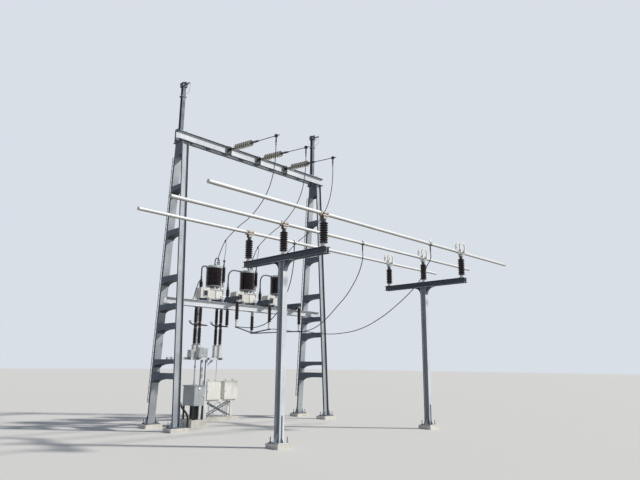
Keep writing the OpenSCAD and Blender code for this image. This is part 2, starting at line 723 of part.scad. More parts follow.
module switch_contacts() {
    // Live middle of each stack: hub, cross arm between front and rear, and the contact jaw to the left
    color("rosybrown") for (x = stack_x) translate([x, gy, low_z + low_h]) {
        for (y = stack_y) translate([0, y, 0]) cylinder(r = 54, h = live_h);
        translate([-30, stack_y[0], 25]) cube([60, stack_y[1] - stack_y[0], 50]);
        plate_xz(stack_y[0], 30, [[-40, 20], [-300, 30], [-420, 90], [-420, 120], [-290, 75], [-40, 75]]);
        plate_xz(stack_y[0], 30, [[40, 20], [300, 20], [330, 40], [330, 60], [40, 75]]);
    }
}

module mechanism_boxes() {
    // Gearbox and pedestals that stand on the frame under the switch columns
    color("gray") {
        for (x = stack_x, y = stack_y) translate([x, gy + y, pad_h + frame_h]) {
            box([0, 0, 0], [170, 150, 24]);
            box([0, 0, 23], [112, 140, box_h - 46]);
            box([0, 0, box_h - 24], [140, 150, 24]);
        }
        translate([-2510, gy - 390, pad_h + frame_h]) cube([210, 215, 330]);
        translate([-2240, gy - 130, pad_h + frame_h]) cube([280, 250, 310]);
        translate([-2780, gy - 280, pad_h + frame_h]) cube([150, 200, 260]);
    }
}

// Cabinets
wall = 3;
kio = [440, 690, 670];
cab_z = pad_h + 665;
kio_z = pad_h + 590;
cab_ax = -540;
cab_bx = 275;
kio_x = -2210;
kio_y = -100;
conduit_x = -350;

module drive_pipe() {
    // Drive rod tube from the kiosk roof up to the first pole, and the conduit from the frame to cabinet A
    z0 = kio_z + kio[2] + 20;
    z1 = cab_z + cab[2] + 20;
    zc = pad_h + frame_h - 40;
    color("silver") {
        translate([-2200, gy + pole_y, z0]) cylinder(r = 24, h = rig_top + seat_h - z0);
        translate([-2200, gy + pole_y, z0]) cylinder(r = 60, h = 26);
        translate([-2200, gy + pole_y, z0 + 80]) cylinder(r = 36, h = 90);
        translate([conduit_x, gy + cab_y + 150, z1]) cylinder(r = 16, h = zc - z1 + 16);
        rod([conduit_x, gy + cab_y + 150, zc], [frame_end + 34, gy + 280, zc], 16);
        rod([frame_end + 40, gy + 280, zc], [frame_end, gy + 280, zc], 16);
    }
}

module shell(s) {
    // Sheet-steel case open at the front, with a roof that throws rain clear
    difference() {
        translate([-s[0] / 2, 0, 0]) cube(s);
        translate([-s[0] / 2 + wall, -1, wall]) cube([s[0] - 2 * wall, s[1] - wall + 1, s[2] - 2 * wall]);
    }
    translate([-s[0] / 2 - roof_over, -40, s[2] - 1]) cube([s[0] + 2 * roof_over, s[1] + 40 + roof_over, 21]);
}

// Heights of the hinge knuckles on a case of height h
function knuckles(h) = [0.16 * h, 0.8 * h];
pin_at = [10, -14];
pin_r = 9;

module shell_hinges(s) {
    // Fixed half of each hinge, on the right side of the case
    for (z = knuckles(s[2])) translate([s[0] / 2, 0, z - 40]) {
        translate([0, pin_at[1], 0]) cube([pin_at[0] + 2, 34, 39]);
        translate([pin_at[0], pin_at[1], 0]) cylinder(r = pin_r, h = 39);
    }
}

module door(s) {
    // Tray door with folded edges and its half of each hinge, with the origin on the hinge axis at the right
    difference() {
        translate([-pin_at[0] - s[0] + 6, -14, 6]) cube([s[0] - 12, 22, s[2] - 12]);
        translate([-pin_at[0] - s[0] + 6 + wall, -14 + wall, 6 + wall])
            cube([s[0] - 12 - 2 * wall, 22, s[2] - 12 - 2 * wall]);
    }
    for (z = knuckles(s[2])) translate([0, 0, z]) {
        translate([-18, -6, 0]) cube([18, 12, 40]);
        cylinder(r = pin_r, h = 40);
    }
}

module cabinet_a() {
    color("white") translate([cab_ax, gy + cab_y, cab_z]) {
        shell(cab);
        shell_hinges(cab);
    }
}

module cabinet_b() {
    color("white") translate([cab_bx, gy + cab_y, cab_z]) {
        shell(cab);
        shell_hinges(cab);
    }
}

module kiosk() {
    color("lightgray") translate([kio_x, gy + kio_y, kio_z]) {
        shell(kio);
        mirror([1, 0, 0]) shell_hinges(kio);
    }
}

module hung(x, y, z, s) {
    translate([x + s[0] / 2 + pin_at[0], gy + y + pin_at[1], z]) rotate([0, 0, door_open]) door(s);
}

module cabinet_a_door() { color("white") hung(cab_ax, cab_y, cab_z, cab); }
module cabinet_b_door() { color("white") hung(cab_bx, cab_y, cab_z, cab); }
module kiosk_door() { color("lightgray") mirror([1, 0, 0]) hung(-kio_x, kio_y, kio_z, kio); }

stand_x = [-830, 350];

module cabinet_stand() {
    // Front and rear frame of angle legs with a rail under the cabinets
    color("gainsboro") translate([0, gy + cab_y, 0]) for (y = [30, 220]) {
        for (x = stand_x) box([x, y + 25, pad_h], [60, 50, 606]);
        translate([-900, y, pad_h + 605]) cube([1540, 50, 60]);
    }
}

module kiosk_legs() {
    // Four angle legs and the cable ducts that rise into the kiosk's floor
    color("dimgray") translate([kio_x, gy + kio_y, plinth_h]) {
        h = kio_z - plinth_h;
        for (x = [-185, 185], y = [40, 650]) box([x, y, 0], [50, 50, h]);
        for (p = [[-60, 120], [50, 150], [-40, 420]]) translate([p[0], p[1], 0]) cylinder(r = 38, h = h);
    }
}

// Hanging conductors
cord_r = 14;
cord_n = 8;

function unit(v) = v / norm(v);
function tangent(p, i) = unit(p[min(i + 1, len(p) - 1)] - p[max(i - 1, 0)]);
function ring(p, i) = let (t = tangent(p, i), a = unit(cross(t, [1, 0, 0])), b = cross(t, a))
    [for (k = [0:cord_n - 1]) p[i] + cord_r * (cos(360 * k / cord_n) * a + sin(360 * k / cord_n) * b)];

module cord(p) {
    n = len(p);
    polyhedron(
        points = [for (i = [0:n - 1]) each ring(p, i)],
        faces = concat(
            [[for (k = [0:cord_n - 1]) k]],
            [for (i = [0:n - 2], k = [0:cord_n - 1]) let (j = (k + 1) % cord_n)
                each [[i * cord_n + k, (i + 1) * cord_n + k, i * cord_n + j],
                      [i * cord_n + j, (i + 1) * cord_n + k, (i + 1) * cord_n + j]]],
            [[for (k = [cord_n - 1:-1:0]) (n - 1) * cord_n + k]]));
}

module line_dropper(i) {
    color("dimgray") cord([for (k = [0:12]) [line_x[i][k], gy + line_route[k][0], line_route[k][1]]]);
}

module busbar_dropper(i) {
    color("dimgray") cord([for (p = bus_routes[i]) [p[0], gy + p[1], p[2]]]);
}

module line_dropper_a() line_dropper(0);
module line_dropper_b() line_dropper(1);
module line_dropper_c() line_dropper(2);
module busbar_dropper_a() busbar_dropper(0);
module busbar_dropper_b() busbar_dropper(1);
module busbar_dropper_c() busbar_dropper(2);

gantry_pads();
support_pads();
yard_pads();
near_legs();
far_legs();
leg_feet();
leg_battens();
leg_heads();
climbing_rails();
beam_front_channel();
beam_back_channel();
beam_battens();
earth_wire_masts();
mast_fittings();
string_a();
string_b();
string_c();
string_links();
dead_end_clamps();
line_dropper_a();
line_dropper_b();
line_dropper_c();
support_posts();
support_arms();
support_gussets();
busbar_insulators();
fixed_clamps();
clamp_sleeves();
expansion_clamps();
expansion_loops();
busbar_tubes();
tap_clamps();
busbar_dropper_a();
busbar_dropper_b();
busbar_dropper_c();
equipment_beam();
pole_brackets();
pole_housings();
pole_bases();
pole_barrels();
pole_caps();
surge_arresters();
jumper_pipes();
pipe_insulators();
hanging_insulators();
lower_conductors();
mechanism_frame();
switch_columns();
switch_contacts();
mechanism_boxes();
drive_pipe();
cabinet_stand();
kiosk_legs();
cabinet_a();
cabinet_b();
kiosk();
cabinet_a_door();
cabinet_b_door();
kiosk_door();
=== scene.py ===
from itertools import product
from math import atan2, cos, hypot, pi, radians, sin, tau
import bpy
import bmesh
from mathutils import Matrix, Vector


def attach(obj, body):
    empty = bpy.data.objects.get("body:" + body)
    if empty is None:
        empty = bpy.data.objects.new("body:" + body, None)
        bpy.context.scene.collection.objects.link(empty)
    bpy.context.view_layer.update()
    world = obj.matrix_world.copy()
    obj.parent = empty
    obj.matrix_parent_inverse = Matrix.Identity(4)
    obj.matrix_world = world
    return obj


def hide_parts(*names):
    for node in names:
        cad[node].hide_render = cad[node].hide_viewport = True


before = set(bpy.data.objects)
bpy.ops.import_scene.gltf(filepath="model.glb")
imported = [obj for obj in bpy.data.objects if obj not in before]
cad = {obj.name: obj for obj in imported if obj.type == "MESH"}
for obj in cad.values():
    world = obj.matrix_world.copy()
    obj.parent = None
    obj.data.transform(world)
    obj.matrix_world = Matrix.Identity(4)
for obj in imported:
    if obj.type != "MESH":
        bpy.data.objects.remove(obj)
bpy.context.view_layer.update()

# Places that the solids share, in metres: line of the gantry, of the busbar supports, top of the pads
GY, TY, PAD = 2.815, -2.845, 0.12
COLUMNS = (-3.5, 3.5)
SUPPORTS = (-3.33, 3.67)
PHASES = (-1.6, 0.0, 1.6)
STRINGS = (-1.54, -0.05, 1.43)
TAPS = (-1.45, 0.16, 1.74)
TUBES_Y, TUBE_END = (TY + 1.6, TY, TY - 1.6), 6.999
# Feet of the A-frames, either side of the line of the gantry
FOOT_OUT = 0.809
# Ties between the legs of an A-frame: top above the pads and depth of the haunch
HAUNCHES = [(i * 1.67 + 0.04, 0.34 - 0.006 * i) for i in range(1, 6)] + [(4.05, 0.28), (2.17, 0.28)]
# Underside and middle of the gantry's beam
BEAM_Z, BEAM_Y = 10.23, GY - 0.085
# Top of the crossbeams, top of their insulators, axis of the tubes
ARM_TOP, INS_TOP, TUBE_Z = 5.19, 5.96, 6.105
# Top and underside of the equipment beam, line of the poles, underside of their caps
RIG_TOP, RIG_LOW, POLE_Y, CAP_Z = 4.4, 4.17, GY + 0.29, 5.715
# Arresters and cross arms, to the right of the middle of each pole
ARRESTER_X, BRACKET_X = 0.45, 0.65
# Columns of the switch
STACKS_X, STACKS_Y = (-2.345, -1.44), (GY - 0.09, GY + 0.2)
# Eye of the strings on the beam and the slope at which they hang
EYE_Y, EYE_Z, DROOP = GY - 0.31, 10.45, radians(5.5)
# Each jumper: turn in degrees, length, foot and height of its insulator
JUMPERS = ((0, 0.545, 5.175, 0.25), (4.7, 0.98, 5.0, 0.34), (4.7, 0.98, 5.0, 0.34))
# Each case: x of its middle, line of its front, floor, width, depth and height
CASES = {"cabinet_a": (-0.54, GY + 1.45, 0.785, 0.64, 0.3, 0.69),
         "cabinet_b": (0.275, GY + 1.45, 0.785, 0.64, 0.3, 0.69),
         "kiosk": (-2.21, GY - 0.1, 0.71, 0.44, 0.69, 0.67)}
SIDES = (-1, 1)
UP, DOWN, FRONT = (0, 0, 1), (0, 0, -1), (0, -1, 0)


def leg_y(z):
    """Half distance between the webs of a pair of legs, at a height above the pads."""
    return 0.773 - 0.598 * z / 10.11


# Camera

YAW, PITCH, ROLL = radians(44.738), radians(12.969), radians(0.541)
EYE, LENS_MM, SENSOR_MM = (-13.475, -14.36, 2.142), 30.81, 36


def aim_camera():
    """Camera at the place and angle of the photograph, 547.8 pixels of focal length for 640 of width."""
    ahead = Vector((cos(PITCH) * cos(YAW), cos(PITCH) * sin(YAW), sin(PITCH)))
    level = Vector((sin(YAW), -cos(YAW), 0))
    over = level.cross(ahead)
    right = cos(ROLL) * level + sin(ROLL) * over
    up = -sin(ROLL) * level + cos(ROLL) * over
    data = bpy.data.cameras.new("camera")
    data.sensor_width, data.lens, data.shift_y = SENSOR_MM, LENS_MM, -1 / 640
    data.clip_start, data.clip_end = 0.1, 400
    camera = bpy.data.objects.new("camera", data)
    place = Matrix((right, up, -ahead)).transposed().to_4x4()
    place.translation = EYE
    camera.matrix_world = place
    bpy.context.scene.collection.objects.link(camera)
    bpy.context.scene.camera = camera


aim_camera()


# Materials

def srgb(code):
    """Linear colour of an sRGB hex value."""
    parts = [int(code[i:i + 2], 16) / 255 for i in (1, 3, 5)]
    return tuple(c / 12.92 if c <= 0.04045 else ((c + 0.055) / 1.055) ** 2.4 for c in parts) + (1.0,)


def feed(node, key, value):
    """Sets an input of a node, or links it when the value comes out of another node."""
    if isinstance(value, bpy.types.NodeSocket):
        node.id_data.links.new(value, node.inputs[key])
    else:
        node.inputs[key].default_value = value


def add(tree, kind, inputs=None, **settings):
    """Adds a shader node to a tree, with its settings and its inputs."""
    node = tree.nodes.new("ShaderNode" + kind)
    for key, value in settings.items():
        setattr(node, key, value)
    for key, value in (inputs or {}).items():
        feed(node, key, value)
    return node


def maths(tree, operation, *values):
    """Result of one operation on one or two numbers."""
    return add(tree, "Math", dict(enumerate(values)), operation=operation).outputs[0]


def vector_maths(tree, operation, *values):
    """Node for one operation on one or two vectors."""
    return add(tree, "VectorMath", dict(enumerate(values)), operation=operation)


def noise(tree, place, scale, detail, rough):
    """Uneven mottle between nought and one."""
    inputs = {"Vector": place, "Scale": scale, "Detail": detail, "Roughness": rough}
    return add(tree, "TexNoise", inputs).outputs["Fac"]


def ramp(tree, value, low, high, bottom=0.0, top=1.0):
    """Even rise from bottom to top while a value goes from low to high."""
    inputs = {"Value": value, "From Min": low, "From Max": high, "To Min": bottom, "To Max": top}
    return add(tree, "MapRange", inputs).outputs[0]


def blend(tree, share, under, over, **settings):
    """Colour between two others, by the share of the second."""
    return add(tree, "Mix", {0: share, 6: under, 7: over}, data_type="RGBA", **settings).outputs[2]


def facing(tree, axis):
    """How far a face looks along an axis, from minus one to one."""
    normal = add(tree, "NewGeometry").outputs["Normal"]
    return add(tree, "SeparateXYZ", {0: normal}).outputs[axis]


def start(name):
    """An empty material with its tree, its shader and the object's own coordinates."""
    made = bpy.data.materials.new(name)
    made.use_nodes = True
    tree = made.node_tree
    tree.nodes.clear()
    shader = add(tree, "BsdfPrincipled")
    add(tree, "OutputMaterial", {"Surface": shader.outputs[0]})
    return made, tree, shader, add(tree, "TexCoord").outputs["Object"]


def weathered(name, tones, metallic, rough, grain_mm, patch_m, streak=0.5, bump=0.2, dust="#8C8272",
              dusty=0.3, coat=0.0, specks=None, speck_share=0.0):
    """Outdoor finish: patches of two tones, rain streaks, fine grain, dust on what faces up."""
    made, tree, shader, here = start(name)
    first, second, washed = (srgb(code) for code in tones.split())
    patch = noise(tree, here, 1 / patch_m, 6.0, 0.6)
    grain = noise(tree, here, 1000 / grain_mm, 3.0, 0.7)
    stretch = add(tree, "Mapping", {"Vector": here, "Scale": (9.0, 9.0, 0.55)}).outputs[0]
    rain = noise(tree, stretch, 2.2, 4.0, 0.65)
    colour = blend(tree, ramp(tree, patch, 0.35, 0.65), first, second)
    colour = blend(tree, ramp(tree, rain, 0.52, 0.75, top=streak), colour, washed)
    if specks:
        spots = noise(tree, here, 14.0, 8.0, 0.75)
        colour = blend(tree, ramp(tree, spots, 0.66 - speck_share, 0.74 - speck_share), colour, srgb(specks))
    upward = ramp(tree, facing(tree, 2), 0.5, 1.0, top=dusty)
    colour = blend(tree, maths(tree, "MULTIPLY", upward, patch), colour, srgb(dust))
    feed(shader, "Base Color", blend(tree, grain, colour, colour, blend_type="OVERLAY"))
    feed(shader, "Roughness", ramp(tree, patch, 0.3, 0.7, *rough))
    relief = add(tree, "Bump", {"Height": grain, "Strength": bump, "Distance": grain_mm / 2000})
    feed(shader, "Normal", relief.outputs[0])
    feed(shader, "Metallic", metallic)
    feed(shader, "Coat Weight", coat)
    feed(shader, "Coat Roughness", 0.12)
    return made


# Hot-dip galvanised steel, years outdoors: dull blue-grey zinc with darker runs and faint crystals; painted
# shade darkens the sides that face away from the sun and the undersides
zinc = weathered("galvanised_steel", "#D4D7DA #C4C8CD #A4AAB1", 0.15, (0.5, 0.68), 12, 0.9)
# The same zinc on rolled channels, a little darker, with painted shade in dark slate on the sides away from
# the sun and on the undersides
zinc_channel = weathered("galvanised_channel", "#B4B8BB #A7ABB0 #8A9096", 0.15, (0.5, 0.68), 12, 0.9)
# The same zinc on the gantry's beam, with painted shade, almost black, where it faces down or away from the
# sun
zinc_beam = weathered("galvanised_beam_steel", "#C9CCCF #BBBFC4 #9EA4AA", 0.15, (0.5, 0.68), 12, 0.9)
# The same zinc on the masts, thin plates and small castings, darker and drier, with painted shade on the
# sides away from the sun and the undersides; on the gussets of the busbar supports the darker tone itself is
# painted shade
zinc_dark = weathered("dull_galvanised_plate", "#868D95 #6E757D #545B63", 0.25, (0.55, 0.72), 10, 0.5)
# Cast concrete, rough and pale with damp stains
concrete = weathered("cast_concrete", "#D5D3CE #C5C2BB #A8A49B", 0.0, (0.85, 0.95), 6, 0.25,
                     bump=0.7, specks="#8C867A", speck_share=0.03)
# Malleable iron fittings, almost black with a dry bloom
iron = weathered("malleable_iron", "#4B4B4E #3A3A3D #5B4A40", 0.4, (0.6, 0.8), 5, 0.15,
                 bump=0.5, specks="#6A4A36", speck_share=0.03)
# Cast tap clamps with a film of rust
rust = weathered("rusty_cast_iron", "#4E3A33 #5B453B #382A26", 0.15, (0.75, 0.9), 5, 0.12,
                 bump=0.6, specks="#6B4B39", speck_share=0.04)
# Extruded aluminium tube gone white with oxide, with painted shade in dull tan on the undersides
oxide = weathered("oxidised_aluminium_tube", "#D7D8D7 #C9CBCB #A6A8A8", 0.15, (0.4, 0.55), 8, 0.8,
                  streak=0.35, bump=0.1, dust="#C9C4B8")
# Cast aluminium, sand-cast and dull
cast = weathered("sand_cast_aluminium", "#BFC1C1 #A5A8A9 #83878A", 0.45, (0.45, 0.62), 5, 0.2, bump=0.4)
# Stranded aluminium conductor, grey with weather
strand = weathered("weathered_stranded_aluminium", "#43474C #34383D #2A2E33", 0.3, (0.5, 0.65), 9, 0.3,
                   bump=0.5)
# Cream enamel on the pole housings, with brown stain from the joints
cream = weathered("cream_enamel", "#DAD9D5 #CFCDC6 #A89A82", 0.0, (0.35, 0.5), 6, 0.35,
                  streak=0.75, bump=0.08, specks="#8A7354", speck_share=-0.025, dust="#A4987F", dusty=0.6)
# Grey enamel of the kiosk and of the doors of the drive boxes
grey = weathered("grey_enamel", "#B7BBBC #A9ADAF #8A9093", 0.0, (0.4, 0.55), 6, 0.5, bump=0.08)
# White enamel of the cabinets, chalked by the sun
white = weathered("chalked_white_enamel", "#E2E2DC #D8D8D1 #B9B6AB", 0.0, (0.45, 0.6), 6, 0.5,
                  streak=0.4, bump=0.06)
# Grey-beige tape on the sleeves beside the clamps, weathered pale, with painted shade on the sides away from
# the sun
putty = weathered("cream_tape_sleeve", "#D6CEC5 #C8BFB4 #988D81", 0.0, (0.6, 0.75), 8, 0.1, bump=0.3)
# Black cable duct and gaskets
rubber = weathered("black_cable_duct", "#26272A #1D1E20 #34332F", 0.0, (0.55, 0.7), 6, 0.2, bump=0.3)
# Dark window glass
pane = weathered("smoked_glass_window", "#22263A #1A1D2C #14161F", 0.0, (0.06, 0.12), 40, 0.3,
                 streak=0.2, bump=0.0, dusty=0.2, coat=0.6)
# Breaker terminals: copper alloy gone dark green
bronze = weathered("verdigris_bronze", "#3E4B44 #33403B #56675A", 0.5, (0.5, 0.65), 5, 0.1, bump=0.3)
# Bolts and nuts on the clamps, dark with old grease
bolt_dark = weathered("greased_bolt_steel", "#3B3A3B #2C2B2D #4B4038", 0.4, (0.5, 0.7), 5, 0.1)
# Bright new-zinc hardware
bright = weathered("bright_zinc_hardware", "#D6D9DB #C3C8CB #A2A8AD", 0.5, (0.35, 0.5), 8, 0.3, bump=0.1)
# Copper alloy contacts, tarnished almost black with a brown edge
contact_bronze = weathered("tarnished_contact_bronze", "#3F3A38 #312E2E #4C3D34", 0.3, (0.6, 0.75), 5,
                           0.1, bump=0.4)
# Aluminium leaves of the loops: pale and soft in their shine, washed clean by rain
loop_leaf = weathered("aluminium_laminate", "#F4F2EC #E4E1DA #B7B2AA", 0.1, (0.45, 0.6), 8, 0.3, bump=0.1)
# Cast busbar clamp, grey-brown with rust specks: painted light turns the faces towards the sun and the tops
# pinkish cream, and painted shade turns the sides away from it brown
clamp_cast = weathered("cast_clamp_with_painted_light", "#8F857F #7B716B #5E534E", 0.1, (0.7, 0.85), 5, 0.1,
                       bump=0.5, specks="#5E4638", speck_share=0.04)
# Bent aluminium pipe gone dull grey
dull_pipe = weathered("dull_aluminium_pipe", "#6A6F76 #585D64 #474C53", 0.3, (0.5, 0.65), 8, 0.3)
# Pale enamel of the drive boxes and pedestals
pale_enamel = weathered("pale_drive_enamel", "#D2D3D0 #C4C6C4 #A3A6A6", 0.0, (0.4, 0.55), 6, 0.4, bump=0.08)


def own_place(made):
    """The object's own coordinates in a finish."""
    return next(n for n in made.node_tree.nodes if n.type == "TEX_COORD").outputs["Object"]


def lay_over(made, mask, code, rough=None):
    """Puts a second colour over a finish where the mask is one, and a second roughness when it is given."""
    tree = made.node_tree
    shader = next(n for n in tree.nodes if n.type == "BSDF_PRINCIPLED")
    colour, before = (shader.inputs[key].links[0].from_socket for key in ("Base Color", "Roughness"))
    feed(shader, "Base Color", blend(tree, mask, colour, srgb(code)))
    if rough:
        dull = add(tree, "Mix", {0: mask, 2: before, 3: rough}, data_type="FLOAT")
        feed(shader, "Roughness", dull.outputs[0])


def within(made, low, high):
    """One inside the box between two corners, nought outside."""
    tree, low, high = made.node_tree, Vector(low), Vector(high)
    off = vector_maths(tree, "SUBTRACT", own_place(made), (low + high) / 2)
    size = vector_maths(tree, "ABSOLUTE", off.outputs[0])
    past = vector_maths(tree, "SUBTRACT", size.outputs[0], (high - low) / 2)
    x, y, z = add(tree, "SeparateXYZ", {0: past.outputs[0]}).outputs
    return maths(tree, "LESS_THAN", maths(tree, "MAXIMUM", maths(tree, "MAXIMUM", x, y), z), 0.0)


def glaze_with_fittings(name, zones, tones="#35212A #28171F #1E1118"):
    """Brown porcelain whose end fittings, in the given boxes, are bare metal."""
    made = weathered(name, tones, 0.0, (0.14, 0.24), 30, 0.4, streak=0.3, bump=0.03, dust="#75655A",
                     dusty=0.6, coat=0.3)
    for low, high, code in zones:
        lay_over(made, within(made, low, high), code, 0.6)
    return made


def paint_light_by_facing(made, axis, sign, code, reach):
    """Paints light or shade: a second colour on the faces that look one way, lighter where the sun falls on
    them or darker where they are in shade.
    """
    tree = made.node_tree
    lay_over(made, ramp(tree, maths(tree, "MULTIPLY", facing(tree, axis), sign), *reach), code)


# A distance past every piece, the line between both rows of hanging insulators, bare metal of the fittings
FAR, MID_Y = 50.0, GY - 0.2
WHITE_METAL, DARK_METAL, PALE_METAL = "#D8D9D6", "#34363A", "#B4B5B2"


def level(low, high, code):
    """Zone of one colour between two heights."""
    return (-FAR, -FAR, low), (FAR, FAR, high), code


# Busbar post insulators: brown glaze, whitened base casting, dark cap under the clamp
post_porcelain = glaze_with_fittings("post_insulator_porcelain", [
    level(0, 5.286, WHITE_METAL), level(5.872, 9, DARK_METAL)])
# Breaker barrels: maroon glaze that looks almost black away from the sun
barrel_porcelain = glaze_with_fittings("barrel_porcelain", [], "#301924 #25131B #1B0F15")
# Arresters: dark maroon porcelain on a pale cast stool
arrester_porcelain = glaze_with_fittings("arrester_porcelain", [
    level(0, 5.232, WHITE_METAL), level(5.815, 9, "#8E9293")])
# Hanging insulators: brown glaze with pale foot fittings
hanging_porcelain = glaze_with_fittings("hanging_insulator_porcelain", [
    ((-FAR, 0, 0), (FAR, MID_Y, 3.775), WHITE_METAL), ((-1.3, MID_Y, 0), (-0.9, FAR, 3.572), PALE_METAL),
    ((-0.1, MID_Y, 0), (0.3, FAR, 3.452), PALE_METAL), ((-0.1, MID_Y, 4.0), (0.3, FAR, 4.6), "#A9ABA8"),
    ((-FAR, 0, 4.45), (FAR, MID_Y, 9), PALE_METAL)])
# Switch stacks: brown glaze between iron flanges
stack_porcelain = glaze_with_fittings("switch_stack_porcelain", [
    level(0, 2.868, "#6E7174"), level(3.41, 3.64, "#4A3A36"), level(4.12, 9, "#55585B")])
# Small side insulators: brown glaze throughout
side_porcelain = glaze_with_fittings("side_insulator_porcelain", [])


def disc_glaze(name, x):
    """Line discs, by distance from the string's axis: grey undersides, pale rims painted as the light that
    catches their edges, and dark iron caps.
    """
    made = weathered(name, "#918E86 #807D76 #67645E", 0.0, (0.12, 0.2), 30, 0.3, streak=0.3, bump=0.03,
                     dust="#ACA89C", dusty=0.9, coat=0.4)
    tree = made.node_tree
    inputs = {"Vector": own_place(made), "Location": (x, EYE_Y, EYE_Z), "Rotation": (pi / 2 + DROOP, 0, 0)}
    own = add(tree, "Mapping", inputs, vector_type="TEXTURE")
    flat = vector_maths(tree, "MULTIPLY", own.outputs[0], (1, 1, 0))
    away = vector_maths(tree, "LENGTH", flat.outputs[0]).outputs["Value"]
    # Pale band at the rims: painted light on the edges of the discs
    lay_over(made, ramp(tree, away, 0.106, 0.114), "#DAD8D0")
    lay_over(made, maths(tree, "LESS_THAN", away, 0.05), "#2B2C2E", 0.7)
    return made


disc_a, disc_b, disc_c = (disc_glaze(f"line_disc_glaze_{i}", x) for i, x in zip("abc", STRINGS))
# Painted light and shade on the sides that face towards or away from the sun: finish, axis, direction,
# colour, and the slopes where it starts and is full
for finish, axis, way, code, reach in (
        (zinc, 0, -1, "#7F878F", (0.4, 0.95)), (zinc, 2, -1, "#565C63", (0.5, 0.95)),
        (zinc_channel, 0, -1, "#434B56", (0.4, 0.95)), (zinc_channel, 2, -1, "#434950", (0.5, 0.95)),
        (zinc_beam, 0, -1, "#2E343D", (0.4, 0.95)), (zinc_beam, 2, -1, "#23282E", (0.5, 0.95)),
        (zinc_dark, 0, -1, "#525B68", (0.4, 0.95)), (zinc_dark, 2, -1, "#3E4347", (0.3, 0.9)),
        (putty, 0, -1, "#6A625A", (0.5, 0.9)), (oxide, 2, -1, "#7A7062", (0.35, 0.95)),
        (clamp_cast, 1, -1, "#CBC1B8", (0.4, 0.8)), (clamp_cast, 2, 1, "#C0B5AB", (0.4, 0.8)),
        (clamp_cast, 0, -1, "#57463D", (0.5, 0.9))):
    paint_light_by_facing(finish, axis, way, code, reach)

LOOKS = {
    zinc: "support_posts equipment_beam mechanism_frame",
    zinc_channel: "near_legs far_legs support_arms climbing_rails",
    zinc_beam: "beam_front_channel beam_back_channel",
    # The gussets of the busbar supports take this darker zinc as painted shade on their undersides
    zinc_dark: "leg_feet leg_battens leg_heads beam_battens earth_wire_masts "
               "mast_fittings pole_brackets support_gussets",
    concrete: "gantry_pads support_pads yard_pads",
    post_porcelain: "busbar_insulators",
    barrel_porcelain: "pole_barrels",
    arrester_porcelain: "surge_arresters",
    hanging_porcelain: "hanging_insulators",
    stack_porcelain: "switch_columns",
    side_porcelain: "pipe_insulators",
    disc_a: "string_a",
    disc_b: "string_b",
    disc_c: "string_c",
    iron: "string_links dead_end_clamps",
    rust: "tap_clamps",
    contact_bronze: "switch_contacts",
    clamp_cast: "fixed_clamps",
    dull_pipe: "jumper_pipes lower_conductors",
    pale_enamel: "mechanism_boxes",
    oxide: "busbar_tubes",
    cast: "pole_bases pole_caps expansion_clamps",
    bright: "drive_pipe",
    loop_leaf: "expansion_loops",
    cream: "pole_housings",
    grey: "kiosk kiosk_door",
    white: "cabinet_a cabinet_b cabinet_a_door cabinet_b_door cabinet_stand",
    putty: "clamp_sleeves",
    rubber: "kiosk_legs",
}
for look, names in LOOKS.items():
    for name in names.split():
        if cad[name].data.materials:
            cad[name].data.materials[0] = look
        else:
            cad[name].data.materials.append(look)


# Cords

# Routes from end to end, with y measured from the line of the gantry
LINE_ROUTE = [(-3.08, 9.92), (-3.08, 9.5), (-3.03, 9.04), (-2.9, 8.54), (-2.64, 8.08), (-2.24, 7.69),
              (-1.72, 7.37), (-1.2, 7.17), (-0.72, 6.94), (-0.34, 6.7), (-0.09, 6.37), (0.07, 6.01),
              (0.07, 5.92)]
LINE_X = [(-1.54, -1.54, -1.54, -1.545, -1.55, -1.555, -1.56, -1.57, -1.58, -1.59, -1.595, -1.6, -1.6),
          (-0.05, -0.05, -0.05, -0.045, -0.04, -0.035, -0.03, -0.025, -0.02, -0.01, -0.005, 0.0, 0.0),
          (1.43, 1.43, 1.44, 1.45, 1.465, 1.485, 1.51, 1.53, 1.55, 1.57, 1.585, 1.6, 1.6)]
LINE_ROUTES = [[(x, y, z) for x, (y, z) in zip(xs, LINE_ROUTE)] for xs in LINE_X]
BUS_ROUTES = [
    [(-1.45, -4.06, 5.86), (-1.45, -4.06, 5.56), (-1.44, -4.0, 5.2), (-1.425, -3.89, 4.84),
     (-1.4, -3.7, 4.48), (-1.36, -3.43, 4.14), (-1.31, -3.08, 3.82), (-1.25, -2.64, 3.59),
     (-1.18, -2.06, 3.45), (-1.09, -1.36, 3.435), (-1.0, -0.8, 3.475), (-0.95, -0.56, 3.5),
     (-0.95, -0.464, 3.5)],
    [(0.16, -5.66, 5.86), (0.16, -5.66, 5.62), (0.17, -5.57, 5.33), (0.185, -5.41, 5.04),
     (0.205, -5.17, 4.74), (0.24, -4.84, 4.42), (0.28, -4.42, 4.12), (0.34, -3.88, 3.76), (0.4, -3.24, 3.45),
     (0.47, -2.44, 3.33), (0.55, -1.64, 3.39), (0.62, -0.88, 3.48), (0.65, -0.56, 3.5), (0.65, -0.464, 3.5)],
    [(1.74, -7.26, 5.86), (1.74, -7.26, 5.62), (1.75, -7.11, 5.4), (1.765, -6.95, 5.15), (1.78, -6.73, 4.88),
     (1.805, -6.4, 4.61), (1.85, -5.8, 4.22), (1.91, -4.98, 3.79), (1.985, -4.0, 3.455),
     (2.075, -2.88, 3.325), (2.15, -1.85, 3.35), (2.21, -1.04, 3.45), (2.25, -0.56, 3.5),
     (2.25, -0.464, 3.5)],
]
# Bend of the line droppers where the rods from the arresters are clamped on
SPUR_BEND = 9


def show(name, data, look):
    """Object with a shape and a finish, in the scene."""
    data.materials.append(look)
    made = bpy.data.objects.new(name, data)
    bpy.context.scene.collection.objects.link(made)
    return made


